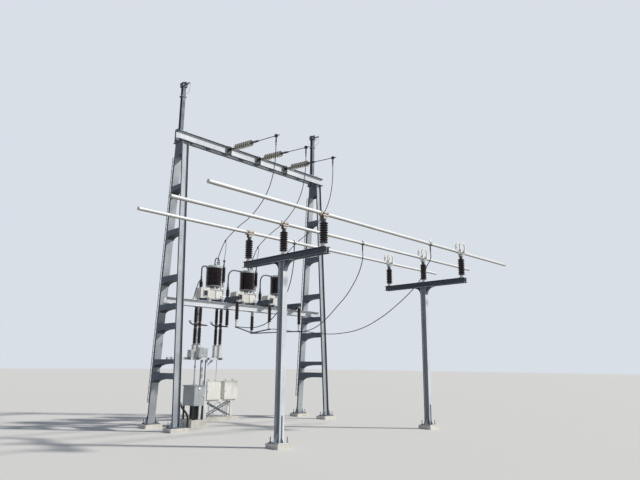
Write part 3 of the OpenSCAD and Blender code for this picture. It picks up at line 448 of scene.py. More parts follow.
def bent_bar(name, runs, radius, look):
    """Round bars bent along smooth runs of points, as open splines."""
    data = bpy.data.curves.new(name, "CURVE")
    data.dimensions = "3D"
    data.bevel_depth, data.bevel_resolution, data.use_fill_caps = radius, 3, True
    data.resolution_u = 6
    for run in runs:
        spline = data.splines.new("BEZIER")
        spline.bezier_points.add(len(run) - 1)
        for knot, place in zip(spline.bezier_points, run):
            knot.co = place
            knot.handle_left_type = knot.handle_right_type = "AUTO"
    return show(name, data, look)


def hang_conductor(name, route, node):
    """Stranded conductor along a route that is measured from the line of the gantry."""
    points = [(x, GY + y, z) for x, y, z in route]
    made = bent_bar(name, [points], 0.014, strand)
    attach(made, "bay")
    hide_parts(node)
    length = sum((Vector(b) - Vector(a)).length for a, b in zip(points, points[1:]))
    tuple(points[0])


for kind, routes in (("line", LINE_ROUTES), ("busbar", BUS_ROUTES)):
    for letter, route in zip("abc", routes):
        hang_conductor(f"{kind}_conductor_{letter}", route, f"{kind}_dropper_{letter}")


# Shape helpers

def put(name, mesh, look, slot="galvanised", body="bay", smooth=False):
    """Makes a piece of a bmesh, with its faces outwards, and lets it ride on a body."""
    bmesh.ops.recalc_face_normals(mesh, faces=mesh.faces[:])
    data = bpy.data.meshes.new(name)
    mesh.to_mesh(data)
    mesh.free()
    if smooth:
        data.shade_smooth()
        data.set_sharp_from_angle(angle=radians(35))
    made = show(name, data, look)
    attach(made, body)


def formed_rod(name, runs, radius, look):
    """Stiff rods or small pipes that stay with the bay."""
    made = bent_bar(name, runs, radius, look)
    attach(made, "bay")


def turn_to(axis):
    """Rotation that takes Z to an axis."""
    return Vector(UP).rotation_difference(Vector(axis)).to_matrix().to_4x4()


def block(mesh, low, high, soft):
    """Box between two corners, with its edges broken."""
    low, high = Vector(low), Vector(high)
    place = Matrix.Translation((low + high) / 2) @ Matrix.Diagonal((*(high - low), 1))
    made = bmesh.ops.create_cube(mesh, size=1, matrix=place)
    edges = list({e for v in made["verts"] for e in v.link_edges})
    bmesh.ops.bevel(mesh, geom=edges, offset=soft, segments=2, profile=0.5, affect="EDGES", material=-1)


def round_bar(mesh, a, b, radius, sides=16):
    """Straight bar from a to b."""
    a, b = Vector(a), Vector(b)
    bmesh.ops.create_cone(mesh, cap_ends=True, segments=sides, radius1=radius, radius2=radius,
                          depth=(b - a).length, matrix=Matrix.Translation((a + b) / 2) @ turn_to(b - a))


def turned(mesh, profile, place, axis=UP, steps=32):
    """Closed solid of revolution from a profile of radius and height."""
    old = set(mesh.verts)
    points = [mesh.verts.new((r, 0, z)) for r, z in profile]
    edges = [mesh.edges.new(ends) for ends in zip(points, points[1:])]
    bmesh.ops.spin(mesh, geom=points + edges, axis=UP, angle=tau, steps=steps, use_merge=True)
    bmesh.ops.remove_doubles(mesh, verts=[v for v in mesh.verts if v not in old], dist=1e-5)
    bmesh.ops.transform(mesh, matrix=Matrix.Translation(place) @ turn_to(axis),
                        verts=[v for v in mesh.verts if v not in old])


def hex_bolt(mesh, place, axis, size, stud=0.0):
    """Washer, hexagon head, and the end of the thread when stud is given."""
    place, axis = Vector(place), Vector(axis).normalized()
    round_bar(mesh, place - axis * 0.001, place + axis * size * 0.25, size * 1.7, 12)
    round_bar(mesh, place + axis * size * 0.2, place + axis * size * 1.1, size * 1.15, 6)
    if stud:
        round_bar(mesh, place + axis * size, place + axis * (size * 1.1 + stud), size * 0.62, 8)


def bolts(mesh, xs, ys, zs, axis, size, stud=0.0):
    """The same bolt at every crossing of three lists of places."""
    for place in product(xs, ys, zs):
        hex_bolt(mesh, place, axis, size, stud)


def side_bolts(mesh, x, away, ys, zs, size):
    """Bolts on the left and on the right of x, each one pointing away from it."""
    for s in SIDES:
        bolts(mesh, [x + s * away], ys, zs, (s, 0, 0), size)


def bolt_ring(mesh, middle, radius, count, axis, size, first=0.5):
    """Bolts in equal steps round an upright line. Without an axis, each one points away from the line."""
    for k in range(count):
        t = tau * (k + first) / count
        away = Vector((cos(t), sin(t), 0))
        hex_bolt(mesh, Vector(middle) + away * radius, axis or away, size)


def pair(middle, away):
    """Two places, one on each side of a middle."""
    return middle - away, middle + away


# Gantry and masts

def anchor_bolts():
    """Threaded anchors with their nuts on the base plates of the legs and posts."""
    mesh = bmesh.new()
    plate_top = PAD + 0.025
    for x, y in product(COLUMNS, pair(GY, FOOT_OUT)):
        bolts(mesh, pair(x, 0.2), pair(y, 0.14), [plate_top], UP, 0.02, 0.12)
    for x in SUPPORTS:
        bolts(mesh, pair(x, 0.16), pair(TY, 0.16), [plate_top], UP, 0.02, 0.12)
    put("anchor_bolts", mesh, zinc_dark)


def batten_bolts():
    """Bolt rows where each tie is fixed to the toes of both legs."""
    mesh = bmesh.new()
    for x, (top, deep) in product(COLUMNS, HAUNCHES):
        for end, depth, count in ((-1, 0.15, 3), (1, deep - 0.05, 4)):
            for k in range(count):
                z = top - 0.035 - k * (depth - 0.05) / (count - 1)
                side_bolts(mesh, x, 0.1445, [GY + end * (leg_y(z) + 0.032)], [PAD + z], 0.011)
    put("batten_bolts", mesh, zinc)


def head_bolts():
    """Bolt rows down the head plates of the legs, and bolts under the beam's seats."""
    mesh = bmesh.new()
    rows = [GY + y for y in (-0.26, -0.2, 0.02, 0.3)]
    for x in COLUMNS:
        for z in (9.6 + 0.085 * k for k in range(6)):
            side_bolts(mesh, x, 0.1465, pair(GY, leg_y(z) + 0.028), [PAD + z], 0.011)
        bolts(mesh, (x - 0.15, x + 0.21), rows, [PAD + 10.085], DOWN, 0.012)
    put("head_bolts", mesh, zinc)


def beam_bolts():
    """Bolts of the tie plates, the ends and the plates that carry the strings."""
    mesh = bmesh.new()
    for i in range(-4, 5):
        x = i * 0.8
        bolts(mesh, pair(x, 0.06), pair(BEAM_Y, 0.118), [BEAM_Z + 0.331], UP, 0.009)
        bolts(mesh, pair(x, 0.06), pair(BEAM_Y, 0.118), [BEAM_Z - 0.001], DOWN, 0.009)
        bolts(mesh, [x], [BEAM_Y - 0.0945], (BEAM_Z + 0.09, BEAM_Z + 0.24), FRONT, 0.008)
    for x in STRINGS:
        bolts(mesh, pair(x, 0.065), [GY - 0.284], (BEAM_Z + 0.045, BEAM_Z + 0.285), FRONT, 0.012, 0.012)
    for x in COLUMNS:
        bolts(mesh, (x - 0.12, x + 0.19), (GY - 0.24, GY + 0.07), [BEAM_Z + 0.012], UP, 0.011)
    put("beam_bolts", mesh, zinc)


def string_fittings():
    """Shackle with its pin at the beam, ball fittings, and keeper bolts of the strain clamps."""
    mesh = bmesh.new()
    out = Vector((0, -cos(DROOP), -sin(DROOP)))
    up = Vector((0, -sin(DROOP), cos(DROOP)))
    half = Vector((0.045, 0.05, 0.05))
    for x in STRINGS:
        eye = Vector((x, EYE_Y, EYE_Z))
        tee = eye + out * (2.77 / cos(DROOP))
        round_bar(mesh, (x - 0.06, EYE_Y, EYE_Z), (x + 0.06, EYE_Y, EYE_Z), 0.014, 12)
        round_bar(mesh, eye + out * 0.24, eye + out * 0.31, 0.028, 14)
        block(mesh, tee - half, tee + half, 0.006)
        for s in SIDES:
            side = Vector((s, 0, 0))
            round_bar(mesh, eye + side * 0.034 - out * 0.03, eye + side * 0.034 + out * 0.14, 0.012, 10)
            for k in range(4):
                foot = eye + side * 0.02 + out * (1.42 + 0.075 * k)
                round_bar(mesh, foot - up * 0.045, foot + up * 0.05, 0.006, 8)
                hex_bolt(mesh, foot + up * 0.035, up, 0.009)
        ball = eye + out * 0.12
        side_bolts(mesh, x, 0.05, [EYE_Y], [EYE_Z], 0.013)
        side_bolts(mesh, x, 0.025, [ball.y], [ball.z], 0.013)
        side_bolts(mesh, x, 0.022, [tee.y], (tee.z - 0.22, tee.z - 0.33), 0.01)
    put("string_fittings", mesh, iron, "dark_iron")


def mast_hardware():
    """Bolts, tilted keeper and strain link of the earth-wire clamps, and the two jumper loops beside them."""
    mesh, loops = bmesh.new(), []
    y = GY + 0.25
    for x in (column + 0.035 for column in COLUMNS):
        block(mesh, (x - 0.12, y - 0.125, 12.715), (x + 0.12, y + 0.125, 12.728), 0.003)
        bolts(mesh, pair(x, 0.06), pair(y, 0.075), [12.727], UP, 0.01)
        bolts(mesh, pair(x, 0.06), [y - 0.105], (12.62, 12.68), FRONT, 0.011)
        for along in (-0.09, 0.0, 0.09):
            z = 12.77 + along * 0.19
            round_bar(mesh, (x - 0.05, y + along, z), (x + 0.05, y + along, z), 0.009, 8)
            side_bolts(mesh, x, 0.045, [y + along], [z], 0.01)
        side_bolts(mesh, x, 0.105, pair(y, 0.04), (12.165, 12.185), 0.009)
        side_bolts(mesh, x - 0.035, 0.147, [y - 0.05], (10.3, 10.42, 10.54, 10.66, 10.76), 0.01)
        for s, sag in ((-1, 0.0), (1, 0.09)):
            bends = ((0.03, -0.4, 12.625), (0.07, -0.3, 12.44 - sag), (0.09, -0.12, 12.4 - sag),
                     (0.07, 0.04, 12.5 - sag), (0.03, 0.12, 12.8))
            loops.append([(x + s * across, y + along, z) for across, along, z in bends])
    put("mast_hardware", mesh, zinc_dark)
    formed_rod("earth_wire_jumpers", loops, 0.0055, strand)


# Busbars and their supports

def support_details():
    """Bolts of the insulator bases, the crossbeam's seat and its brackets; plates under the insulators."""
    mesh, plates = bmesh.new(), bmesh.new()
    for x in SUPPORTS:
        for y in TUBES_Y:
            bolt_ring(mesh, (x, y, ARM_TOP + 0.026), 0.064, 4, UP, 0.009)
            block(plates, (x - 0.095, y - 0.095, ARM_TOP), (x + 0.095, y + 0.095, ARM_TOP + 0.012), 0.002)
        for z, way in ((4.99, DOWN), (5.027, UP)):
            bolts(mesh, pair(x, 0.085), pair(TY, 0.33) + pair(TY, 0.24), [z], way, 0.01)
        for s, degrees in product(SIDES, (18, 36, 54, 72)):
            t = radians(degrees)
            away, drop = s * cos(t), sin(t)
            bolts(mesh, pair(x, 0.045), [TY + s * 0.3635 - 0.25 * away], [4.724 + 0.25 * drop],
                  (0, -away, -drop), 0.007)
        side_bolts(mesh, x, 0.054, pair(TY, 0.8) + pair(TY, 0.84), [5.1], 0.009)
        side_bolts(mesh, x, 0.054, pair(TY, 1.58) + pair(TY, 1.66), [5.06], 0.009)
    put("support_bolts", mesh, zinc_dark)
    put("crossbeam_plates", plates, bright)


def busbar_clamps():
    """Keeper bolts of the clamps, knobs of the tap clamps and the plugs that close the tubes."""
    keepers, taps, plugs = bmesh.new(), bmesh.new(), bmesh.new()
    for (x, away), y in product(zip(SUPPORTS, (0.07, 0.05)), TUBES_Y):
        bolts(keepers, pair(x, away), pair(y, 0.084), [TUBE_Z + 0.009], UP, 0.011, 0.014)
        bolts(keepers, pair(x, away), pair(y, 0.084), [TUBE_Z - 0.009], DOWN, 0.011)
        bolts(keepers, pair(x, 0.0504), pair(y, 0.0525), [INS_TOP + 0.0225], UP, 0.009)
    put("clamp_bolts", keepers, bolt_dark, "dark_iron")
    for x, y in zip(TAPS, TUBES_Y):
        turned(taps, [(0, 0), (0.022, 0), (0.024, 0.02), (0.017, 0.034), (0.026, 0.05), (0.02, 0.072),
                      (0, 0.08)], (x, y, TUBE_Z + 0.06), steps=20)
        for s in SIDES:
            jaw = y + s * 0.062
            block(taps, (x - 0.04, jaw - 0.012, TUBE_Z - 0.03), (x + 0.04, jaw + 0.012, TUBE_Z + 0.03), 0.004)
            bolts(taps, pair(x, 0.022), [jaw + s * 0.012], [TUBE_Z], (0, s, 0), 0.009)
    put("tap_fittings", taps, bright, "aluminium", smooth=True)
    for y, s in product(TUBES_Y, SIDES):
        turned(plugs, [(0, 0), (0.049, 0), (0.053, 0.004), (0.053, 0.014), (0.045, 0.024), (0.026, 0.034),
                       (0, 0.038)], (s * TUBE_END, y, TUBE_Z), (s, 0, 0))
    put("tube_end_plugs", plugs, cast, "aluminium", smooth=True)


def expansion_loops():
    """Bolts of the loops' clamps, and the thin leaves that show at the inner and outer side of each loop."""
    mesh, leaves = bmesh.new(), bmesh.new()
    x, opening = SUPPORTS[1], radians(38)
    ahead = Vector((cos(opening), 0, -sin(opening)))
    for y in TUBES_Y:
        side_bolts(mesh, x, 0.158, pair(y, 0.08), (TUBE_Z + 0.045, TUBE_Z + 0.07), 0.01)
        bolts(mesh, pair(x, 0.18), [y], [TUBE_Z + 0.062], UP, 0.009)
        for loop_y, (inner, outer) in product(pair(y, 0.08), ((0.144, 0.1515), (0.1785, 0.186))):
            middle = Vector((x, loop_y, TUBE_Z + 0.175))
            ends = ((inner, -0.024), (outer, -0.024), (outer, 0.024), (inner, 0.024))
            corners = [leaves.verts.new(middle + ahead * out + Vector((0, side, 0))) for out, side in ends]
            bmesh.ops.spin(leaves, geom=[leaves.faces.new(corners)], cent=middle, axis=FRONT,
                           angle=pi + 2 * opening, steps=40)
    put("loop_bolts", mesh, bolt_dark, "dark_iron")
    put("loop_leaves", leaves, loop_leaf, "aluminium", smooth=True)


# Poles

def pole_details():
    """On each pole: window, seam, side panel, and the bolts of the lid, the flanges and the cap."""
    y, face = POLE_Y, POLE_Y - 0.19
    plates, frames, glass, screws = bmesh.new(), bmesh.new(), bmesh.new(), bmesh.new()
    for x in PHASES:
        block(frames, (x - 0.545, face - 0.016, 4.6), (x - 0.345, face + 0.004, 4.83), 0.004)
        block(glass, (x - 0.52, face - 0.019, 4.625), (x - 0.37, face - 0.008, 4.805), 0.002)
        bolts(screws, (x - 0.533, x - 0.357), [face - 0.016], (4.612, 4.715, 4.818), FRONT, 0.005)
        block(plates, (x + 0.012, face - 0.008, 4.555), (x + 0.285, face + 0.004, 4.84), 0.003)
        bolts(screws, (x + 0.03, x + 0.148, x + 0.267), [face - 0.008], (4.572, 4.823), FRONT, 0.006)
        block(frames, (x - 0.012, face - 0.012, 4.53), (x + 0.006, face + 0.004, 4.865), 0.002)
        block(plates, (x - 0.3, face - 0.006, 4.56), (x - 0.05, face + 0.004, 4.6), 0.002)
        row = [x - 0.19 + 0.08 * k for k in range(7)]
        bolts(screws, row, pair(y, 0.203), [4.868], DOWN, 0.006)
        bolts(screws, row, [y - 0.195], [4.9], UP, 0.007)
        bolt_ring(screws, (x, y, 4.9225), 0.168, 8, UP, 0.01, first=0.25)
        bolt_ring(screws, (x, y, 5.0), 0.252, 16, DOWN, 0.008)
        bolt_ring(screws, (x, y, CAP_Z + 0.03), 0.292, 16, UP, 0.008)
        for z in (4.6, 4.66):
            turned(plates, [(0, 0), (0.016, 0), (0.016, 0.03), (0.011, 0.034), (0.011, 0.05), (0, 0.054)],
                   (x + 0.245, face - 0.006, z), FRONT, steps=16)
    put("housing_window_frames", frames, cast, "aluminium")
    put("housing_windows", glass, pane, "grey_paint")
    put("housing_panels", plates, white, "cream_paint")
    put("pole_bolts", screws, zinc_dark)


def terminal_arches():
    """Arched terminal on the cap of each pole, with its pads and bolts."""
    arches, pads = [], bmesh.new()
    y = GY + 0.112
    bends = ((-0.09, 5.8), (-0.095, 5.94), (-0.068, 6.05), (0, 6.095), (0.068, 6.05), (0.095, 5.94),
             (0.09, 5.8))
    for x in PHASES:
        arches.append([(x + dx, y, z) for dx, z in bends])
        block(pads, (x - 0.13, y - 0.035, 5.783), (x + 0.13, y + 0.035, 5.806), 0.004)
        block(pads, (x - 0.028, y - 0.076, 5.895), (x + 0.028, y, 5.925), 0.006)
        for foot in pair(x, 0.09):
            block(pads, (foot - 0.022, y - 0.022, 5.8), (foot + 0.022, y + 0.022, 5.86), 0.005)
            hex_bolt(pads, (foot, y - 0.022, 5.83), FRONT, 0.011)
    formed_rod("terminal_arches", arches, 0.021, bronze)
    put("terminal_pads", pads, bronze, "dark_iron")


def neck_castings():
    """Irregular cast lugs round each neck, valve block and small pipes at the end of each housing."""
    mesh, dark, runs, y = bmesh.new(), bmesh.new(), [], POLE_Y
    pipes = (((0.35, -0.12, 4.715), (0.355, -0.15, 4.83), (0.32, -0.19, 4.93), (0.29, -0.2, 4.94)),
             ((0.26, -0.17, 4.95), (0.23, -0.14, 5.0), (0.19, -0.12, 5.0)))
    for x in PHASES:
        for k in range(6):
            t = tau * (k + 0.2) / 6
            at = Vector((x + 0.2 * cos(t), y + 0.2 * sin(t), 4.9))
            top = at + Vector((0, 0, 0.105 - 0.012 * (k % 3)))
            block(mesh, at - Vector((0.03, 0.03, 0)), top + Vector((0.03, 0.03, 0)), 0.008)
            hex_bolt(dark, top, UP, 0.01)
        block(mesh, (x + 0.325, y - 0.16, 4.6), (x + 0.375, y - 0.04, 4.72), 0.006)
        block(mesh, (x + 0.21, y - 0.235, 4.9), (x + 0.3, y - 0.16, 4.975), 0.008)
        block(mesh, (x - 0.345, y - 0.07, 4.925), (x - 0.285, y + 0.07, 4.965), 0.006)
        turned(mesh, [(0, 0), (0.03, 0), (0.03, 0.02), (0.02, 0.03), (0.02, 0.055), (0.028, 0.06),
                      (0.028, 0.075), (0, 0.08)], (x + 0.375, y - 0.1, 4.66), (1, 0, 0), steps=20)
        turned(mesh, [(0, 0), (0.022, 0), (0.022, 0.03), (0.014, 0.036), (0.014, 0.075), (0, 0.08)],
               (x + 0.255, y - 0.2, 4.974), steps=20)
        bolts(dark, [x + 0.35], [y - 0.16], (4.615, 4.705), FRONT, 0.007)
        runs += [[(x + dx, y + dy, z) for dx, dy, z in pipe] for pipe in pipes]
    put("neck_castings", mesh, bright, "aluminium", smooth=True)
    put("neck_bolts", dark, bolt_dark, "dark_iron")
    formed_rod("gas_pipes", runs, 0.009, dull_pipe)


def arrester_spurs():
    """Thin rod from each arrester to a clamp on the dropper, and the pressure rings of the arresters."""
    runs, mesh, rings = [], bmesh.new(), bmesh.new()
    for x, route in zip(PHASES, LINE_ROUTES):
        at, y = x + ARRESTER_X, POLE_Y
        tip = Vector(route[SPUR_BEND]) + Vector((0, GY, 0))
        runs.append([(at, y, 6.09), (at, y - 0.01, 6.2), (x + 0.38, GY + 0.14, 6.42),
                     (x + 0.22, GY - 0.1, 6.6), (x + 0.08, GY - 0.27, 6.69), tip])
        across = Vector((0.02, 0.035, -0.02))
        round_bar(mesh, tip - across, tip + across, 0.026, 14)
        hex_bolt(mesh, tip + Vector((0.024, 0, 0.018)), (0.6, 0, 1), 0.01)
        round_bar(mesh, (at, y, 5.893), (at, y, 5.925), 0.03)
        round_bar(mesh, (at, y, 5.92), (at, y, 6.04), 0.022)
        block(mesh, (at - 0.035, y - 0.03, 6.03), (at + 0.035, y + 0.03, 6.1), 0.006)
        side_bolts(mesh, at, 0.032, [y], [5.87], 0.01)
        bolts(mesh, pair(at, 0.05), [y - 0.045], [4.671], UP, 0.009)
        for z in (5.205, 5.222):
            turned(rings, [(0.048, 0), (0.078, 0.002), (0.078, 0.011), (0.048, 0.013), (0.048, 0)],
                   (at, y, z), steps=28)
    formed_rod("arrester_spurs", runs, 0.009, strand)
    put("spur_clamps", mesh, iron, "dark_iron")
    put("arrester_flanges", rings, bright, "aluminium", smooth=True)


def jumper_fittings():
    """Clamp bolts where each jumper meets its insulator and its cap, and the cable beside the first pole."""
    mesh = bmesh.new()
    for x, (degrees, reach, foot, tall) in zip(PHASES, JUMPERS):
        turn = radians(degrees)
        out = Vector((-cos(turn), -sin(turn), 0))
        end = Vector((x, POLE_Y, foot)) + out * reach
        near = Vector((x, POLE_Y, CAP_Z + 0.036)) + out * 0.325
        for side in (Vector((-out.y, out.x, 0)), Vector((out.y, -out.x, 0))):
            for z, away in ((0.03, 0.041), (0.055, 0.041), (0.135, 0.034)):
                hex_bolt(mesh, end + side * away + Vector((0, 0, z)), side, 0.01)
            hex_bolt(mesh, near + side * 0.033, side, 0.01)
        bolt_ring(mesh, end + Vector((0, 0, 0.011 - tall)), 0.052, 4, UP, 0.007)
    put("jumper_bolts", mesh, bolt_dark, "dark_iron")
    bends = ((-2.145, 0.255, 5.215), (-2.24, 0.2, 5.19), (-2.38, 0.12, 5.03), (-2.48, 0.07, 4.8),
             (-2.56, 0.04, 4.58), (-2.6, 0.02, 4.44))
    formed_rod("side_cable", [[(x, GY + y, z) for x, y, z in bends]], 0.017, rubber)
    mesh = bmesh.new()
    block(mesh, (-2.68, GY - 0.06, RIG_TOP - 0.0005), (-2.53, GY + 0.1, RIG_TOP + 0.03), 0.004)
    turned(mesh, [(0, 0), (0.038, 0), (0.038, 0.03), (0.028, 0.036), (0.028, 0.07), (0, 0.07)],
           (-2.6, GY + 0.02, RIG_TOP + 0.029), steps=24)
    put("cable_gland", mesh, cast, "aluminium")


def beam_seat_bolts():
    """Bolts of the pole bearers, cross arms and hanging insulators on the equipment beam."""
    mesh = bmesh.new()
    for x in PHASES:
        for bearer in (x - 0.5, x + 0.13):
            bolts(mesh, pair(bearer, 0.028), pair(GY, 0.135), [RIG_TOP - 0.012], DOWN, 0.01)
        arm = x + BRACKET_X
        for y, z in ((-0.43, 4.55), (-0.36, 4.61), (-0.26, 4.6), (-0.14, 4.56), (0.0, 4.48), (0.12, 4.48),
                     (0.22, 4.6)):
            side_bolts(mesh, arm, 0.052, [GY + y], [z], 0.009)
        bolts(mesh, pair(arm, 0.035), pair(GY - 0.4, 0.035), [4.523], UP, 0.008)
    bolts(mesh, (-3.0, -2.4, -0.8, 0.0, 0.8, 2.4, 3.0), [GY - 0.0805], (4.24, 4.33), FRONT, 0.009)
    for x in COLUMNS:
        bolts(mesh, pair(x, 0.16), pair(GY, 0.12), [RIG_LOW - 0.001], DOWN, 0.011)
        bolts(mesh, pair(x, 0.16), pair(GY, 0.12), [RIG_LOW + 0.013], UP, 0.01)
    put("equipment_beam_bolts", mesh, zinc_dark)


# Switch stand

def switch_contacts():
    """Bolts of the insulator stacks, and the finger contacts on the front ones."""
    mesh, fingers = bmesh.new(), bmesh.new()
    for x, y in product(STACKS_X, STACKS_Y):
        for z, way in ((2.8255, UP), (4.1545, DOWN), (2.786, DOWN)):
            bolt_ring(mesh, (x, y, z), 0.056, 4, way, 0.008)
        bolts(mesh, pair(x, 0.07), pair(y, 0.062), [2.3945], UP, 0.009)
        bolt_ring(fingers, (x, y, 3.525), 0.054, 6, None, 0.007, first=0)
    put("stack_bolts", mesh, zinc_dark)
    for x in STACKS_X:
        y = STACKS_Y[0]
        for s in SIDES:
            for tip in (x - 0.36, x - 0.39, x - 0.42):
                round_bar(fingers, (tip, y + s * 0.019, 3.585), (tip - 0.04, y + s * 0.019, 3.655), 0.006, 8)
            hex_bolt(fingers, (x - 0.06, y + s * 0.0155, 3.52), (0, s, 0), 0.009)
            hex_bolt(fingers, (x + 0.3, y + s * 0.0155, 3.508), (0, s, 0), 0.008)
        block(fingers, (x - 0.43, y - 0.03, 3.558), (x - 0.385, y + 0.03, 3.575), 0.003)
        round_bar(fingers, (x, y + 0.11, 3.5), (x, y + 0.11, 3.6), 0.018, 12)
    put("contact_fingers", fingers, contact_bronze, "rusty_iron")


def drive_boxes():
    """Doors, handles and hinges of the drive boxes, two lids, and the cable entries under the first box."""
    mesh = bmesh.new()
    for x0, x1, z0, z1, y in ((-2.5, -2.31, 2.385, 2.685, GY - 0.39),
                              (-2.77, -2.64, 2.385, 2.615, GY - 0.28),
                              (-2.22, -1.98, 2.39, 2.665, GY - 0.13)):
        middle = (z0 + z1) / 2
        block(mesh, (x0, y - 0.012, z0), (x1, y + 0.003, z1), 0.004)
        block(mesh, (x1 - 0.03, y - 0.026, middle - 0.03), (x1 - 0.016, y - 0.008, middle + 0.03), 0.003)
        for z in (z0 + 0.05, z1 - 0.05):
            round_bar(mesh, (x0 + 0.004, y - 0.014, z - 0.02), (x0 + 0.004, y - 0.014, z + 0.02), 0.007, 10)
    block(mesh, (-2.52, GY - 0.4, 2.7), (-2.29, GY - 0.165, 2.712), 0.004)
    block(mesh, (-2.25, GY - 0.14, 2.68), (-1.95, GY + 0.13, 2.692), 0.004)
    for x in (-2.45, -2.37):
        round_bar(mesh, (x, GY - 0.33, 2.325), (x, GY - 0.33, 2.371), 0.016, 12)
    put("drive_box_doors", mesh, grey, "grey_paint")


def pipe_details():
    """Couplings, guide and clips on the drive pipe and the conduit."""
    mesh = bmesh.new()
    x, y = -2.2, POLE_Y
    for s in SIDES:
        bolts(mesh, [x], [y + s * 0.0245], (1.52, 2.02, 3.0, 3.9), (0, s, 0), 0.009, 0.01)
    side_bolts(mesh, x, 0.032, [y], (2.05, 3.95), 0.008)
    for z in (2.05, 3.95):
        round_bar(mesh, (x, y, z - 0.035), (x, y, z + 0.035), 0.033, 20)
    bolt_ring(mesh, (x, y, 1.426), 0.046, 4, UP, 0.008)
    bend, far = Vector((-0.35, GY + 1.6, 2.33)), Vector((-1.366, GY + 0.28, 2.33))
    rise, slant = Vector((0, 0, 0.012)), (far - bend).normalized() * 0.012
    clips = [(bend - Vector((0, 0, drop)), rise) for drop in (0.58, 0.23)]
    clips += [(bend.lerp(far, share), slant) for share in (0.22, 0.5, 0.78)]
    for at, along in clips:
        round_bar(mesh, at - along, at + along, 0.021, 14)
    put("pipe_couplings", mesh, cast)


# Cases and cables

def case_details():
    """On the cases: door panels, locks, roof lips and vents."""
    for name, (x, y, z, w, d, h) in CASES.items():
        is_kiosk = name == "kiosk"
        paint, slot, way = (grey, "grey_paint", 1) if is_kiosk else (white, "white_paint", -1)
        face, lock, middle, top = y - 0.028, x + way * (w / 2 - 0.045), z + h * 0.5, z + h
        left, right = pair(x, w / 2)
        mesh = bmesh.new()
        turned(mesh, [(0, 0), (0.02, 0), (0.02, 0.008), (0.013, 0.012), (0, 0.012)],
               (lock, face + 0.0005, middle), FRONT, steps=24)
        block(mesh, (lock - 0.008, face - 0.024, middle - 0.05), (lock + 0.008, face - 0.008, middle + 0.012),
              0.003)
        if is_kiosk:
            turned(mesh, [(0, 0), (0.052, 0), (0.052, 0.012), (0.04, 0.02), (0, 0.026)],
                   (x - 0.02, face + 0.0005, z + h * 0.84), FRONT)
        put(f"{name}_lock", mesh, bright, slot, body=f"{name}_door", smooth=True)
        mesh = bmesh.new()
        block(mesh, (left + 0.03, face - 0.003, z + 0.045), (right - 0.03, face + 0.001, top - 0.045), 0.0015)
        put(f"{name}_door_panel", mesh, paint, slot, body=f"{name}_door")
        mesh = bmesh.new()
        if is_kiosk:
            block(mesh, (left - 0.028, y - 0.048, top + 0.018),
                  (right + 0.028, y + d + 0.022, top + 0.026), 0.003)
        else:
            for cowl in pair(x, 0.17):
                turned(mesh, [(0, 0), (0.022, 0), (0.022, 0.03), (0.055, 0.036), (0.06, 0.045),
                              (0.045, 0.062), (0.02, 0.07), (0, 0.072)],
                       (cowl, y + 0.12, top + 0.0195), steps=28)
        front, back = pair(y + d / 2, 0.07)
        for side, k in product((left, right), range(5)):
            low = z + 0.12 + k * 0.022
            block(mesh, (side - 0.006, front, low), (side + 0.006, back, low + 0.01), 0.003)
        put(f"{name}_vents", mesh, paint, slot, smooth=True)


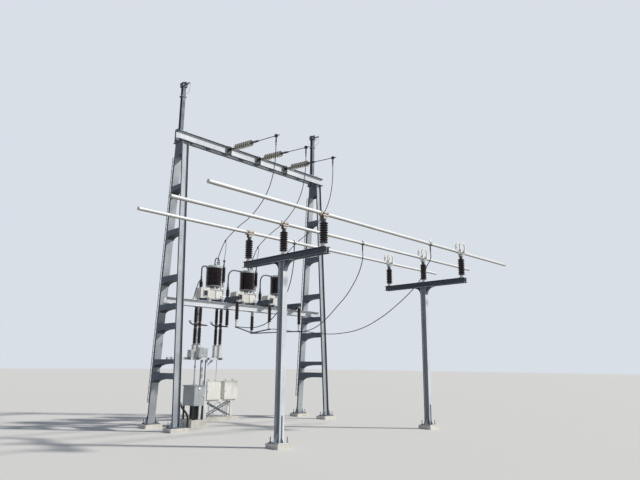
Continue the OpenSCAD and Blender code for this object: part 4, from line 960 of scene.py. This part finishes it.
def stand_details():
    """Crossed braces of the cabinet stand, the cables into the cabinets and the duct beside the near leg."""
    mesh = bmesh.new()
    left, right, low, high = -0.8, 0.32, 0.17, 0.7
    for y in pair(GY + 1.6, 0.097):
        for s in SIDES:
            lean = Matrix.Rotation(-s * atan2(high - low, right - left), 4, "Y")
            place = Matrix.Translation(((left + right) / 2, y + s * 0.004, (low + high) / 2))
            flat = Matrix.Diagonal((hypot(right - left, high - low), 0.006, 0.045, 1))
            bmesh.ops.create_cube(mesh, size=1, matrix=place @ lean @ flat)
        bolts(mesh, (left, right), [y - 0.007], (low, high), FRONT, 0.009)
        hex_bolt(mesh, ((left + right) / 2, y - 0.007, (low + high) / 2), FRONT, 0.009)
    put("stand_braces", mesh, zinc_dark)
    hoop = ((-0.42, 0.122), (-0.42, 0.4), (-0.36, 0.58), (-0.2, 0.66), (-0.03, 0.58), (0.03, 0.4),
            (0.03, 0.122))
    runs = [[(x, GY + 1.56, z) for x, z in hoop]]
    runs += [[(x, GY + 1.6, z) for z in (0.122, 0.5, 0.73)] for x in (-0.62, 0.17)]
    formed_rod("cable_hoop", runs, 0.022, bright)
    duct = ((-3.03, 0.004), (-3.03, 0.22), (-3.04, 0.42), (-3.1, 0.55), (-3.2, 0.66), (-3.31, 0.8),
            (-3.352, 0.9))
    formed_rod("leg_cable_duct", [[(x, GY - 0.75, z) for x, z in duct]], 0.034, rubber)


for make in (anchor_bolts, batten_bolts, head_bolts, beam_bolts, string_fittings, mast_hardware,
             support_details, busbar_clamps, expansion_loops, pole_details, terminal_arches, neck_castings,
             arrester_spurs, jumper_fittings, beam_seat_bolts, switch_contacts, drive_boxes, pipe_details,
             case_details, stand_details):
    make()


# Floor and light

SUN_FROM, SUN_POWER, SUN_SPREAD = (0.56, -0.62, 0.7), 3.4, radians(4)
SHADE_POWER, SEEN_POWER = 0.36, 1.0


def studio():
    """Plain pale floor, a soft sun from the right front and a pale surround."""
    bpy.ops.mesh.primitive_plane_add(size=400, location=(0, 0, 0))
    floor = bpy.context.object
    floor.name = "floor"
    made, _, shader, _ = start("pale_floor")
    feed(shader, "Base Color", srgb("#D9D7D2"))
    feed(shader, "Roughness", 0.9)
    floor.data.materials.append(made)
    sun = bpy.data.objects.new("sun", bpy.data.lights.new("sun", "SUN"))
    sun.data.energy, sun.data.angle = SUN_POWER, SUN_SPREAD
    sun.data.color = (1.0, 0.97, 0.92)
    sun.rotation_mode = "QUATERNION"
    sun.rotation_quaternion = Vector(SUN_FROM).to_track_quat("Z", "Y")
    bpy.context.scene.collection.objects.link(sun)
    world = bpy.data.worlds.new("surround")
    bpy.context.scene.world = world
    world.use_nodes = True
    tree = world.node_tree
    tree.nodes.clear()
    seen = add(tree, "LightPath")
    light = add(tree, "Background", {"Color": srgb("#C6D4EC"), "Strength": SHADE_POWER})
    back = add(tree, "Background", {"Color": srgb("#D9DFE7"), "Strength": SEEN_POWER})
    any_view = maths(tree, "MAXIMUM", seen.outputs["Is Camera Ray"], seen.outputs["Is Glossy Ray"])
    both = add(tree, "MixShader", {0: any_view, 1: light.outputs[0], 2: back.outputs[0]})
    add(tree, "OutputWorld", {"Surface": both.outputs[0]})
    bpy.context.scene.view_settings.view_transform = "Standard"


studio()
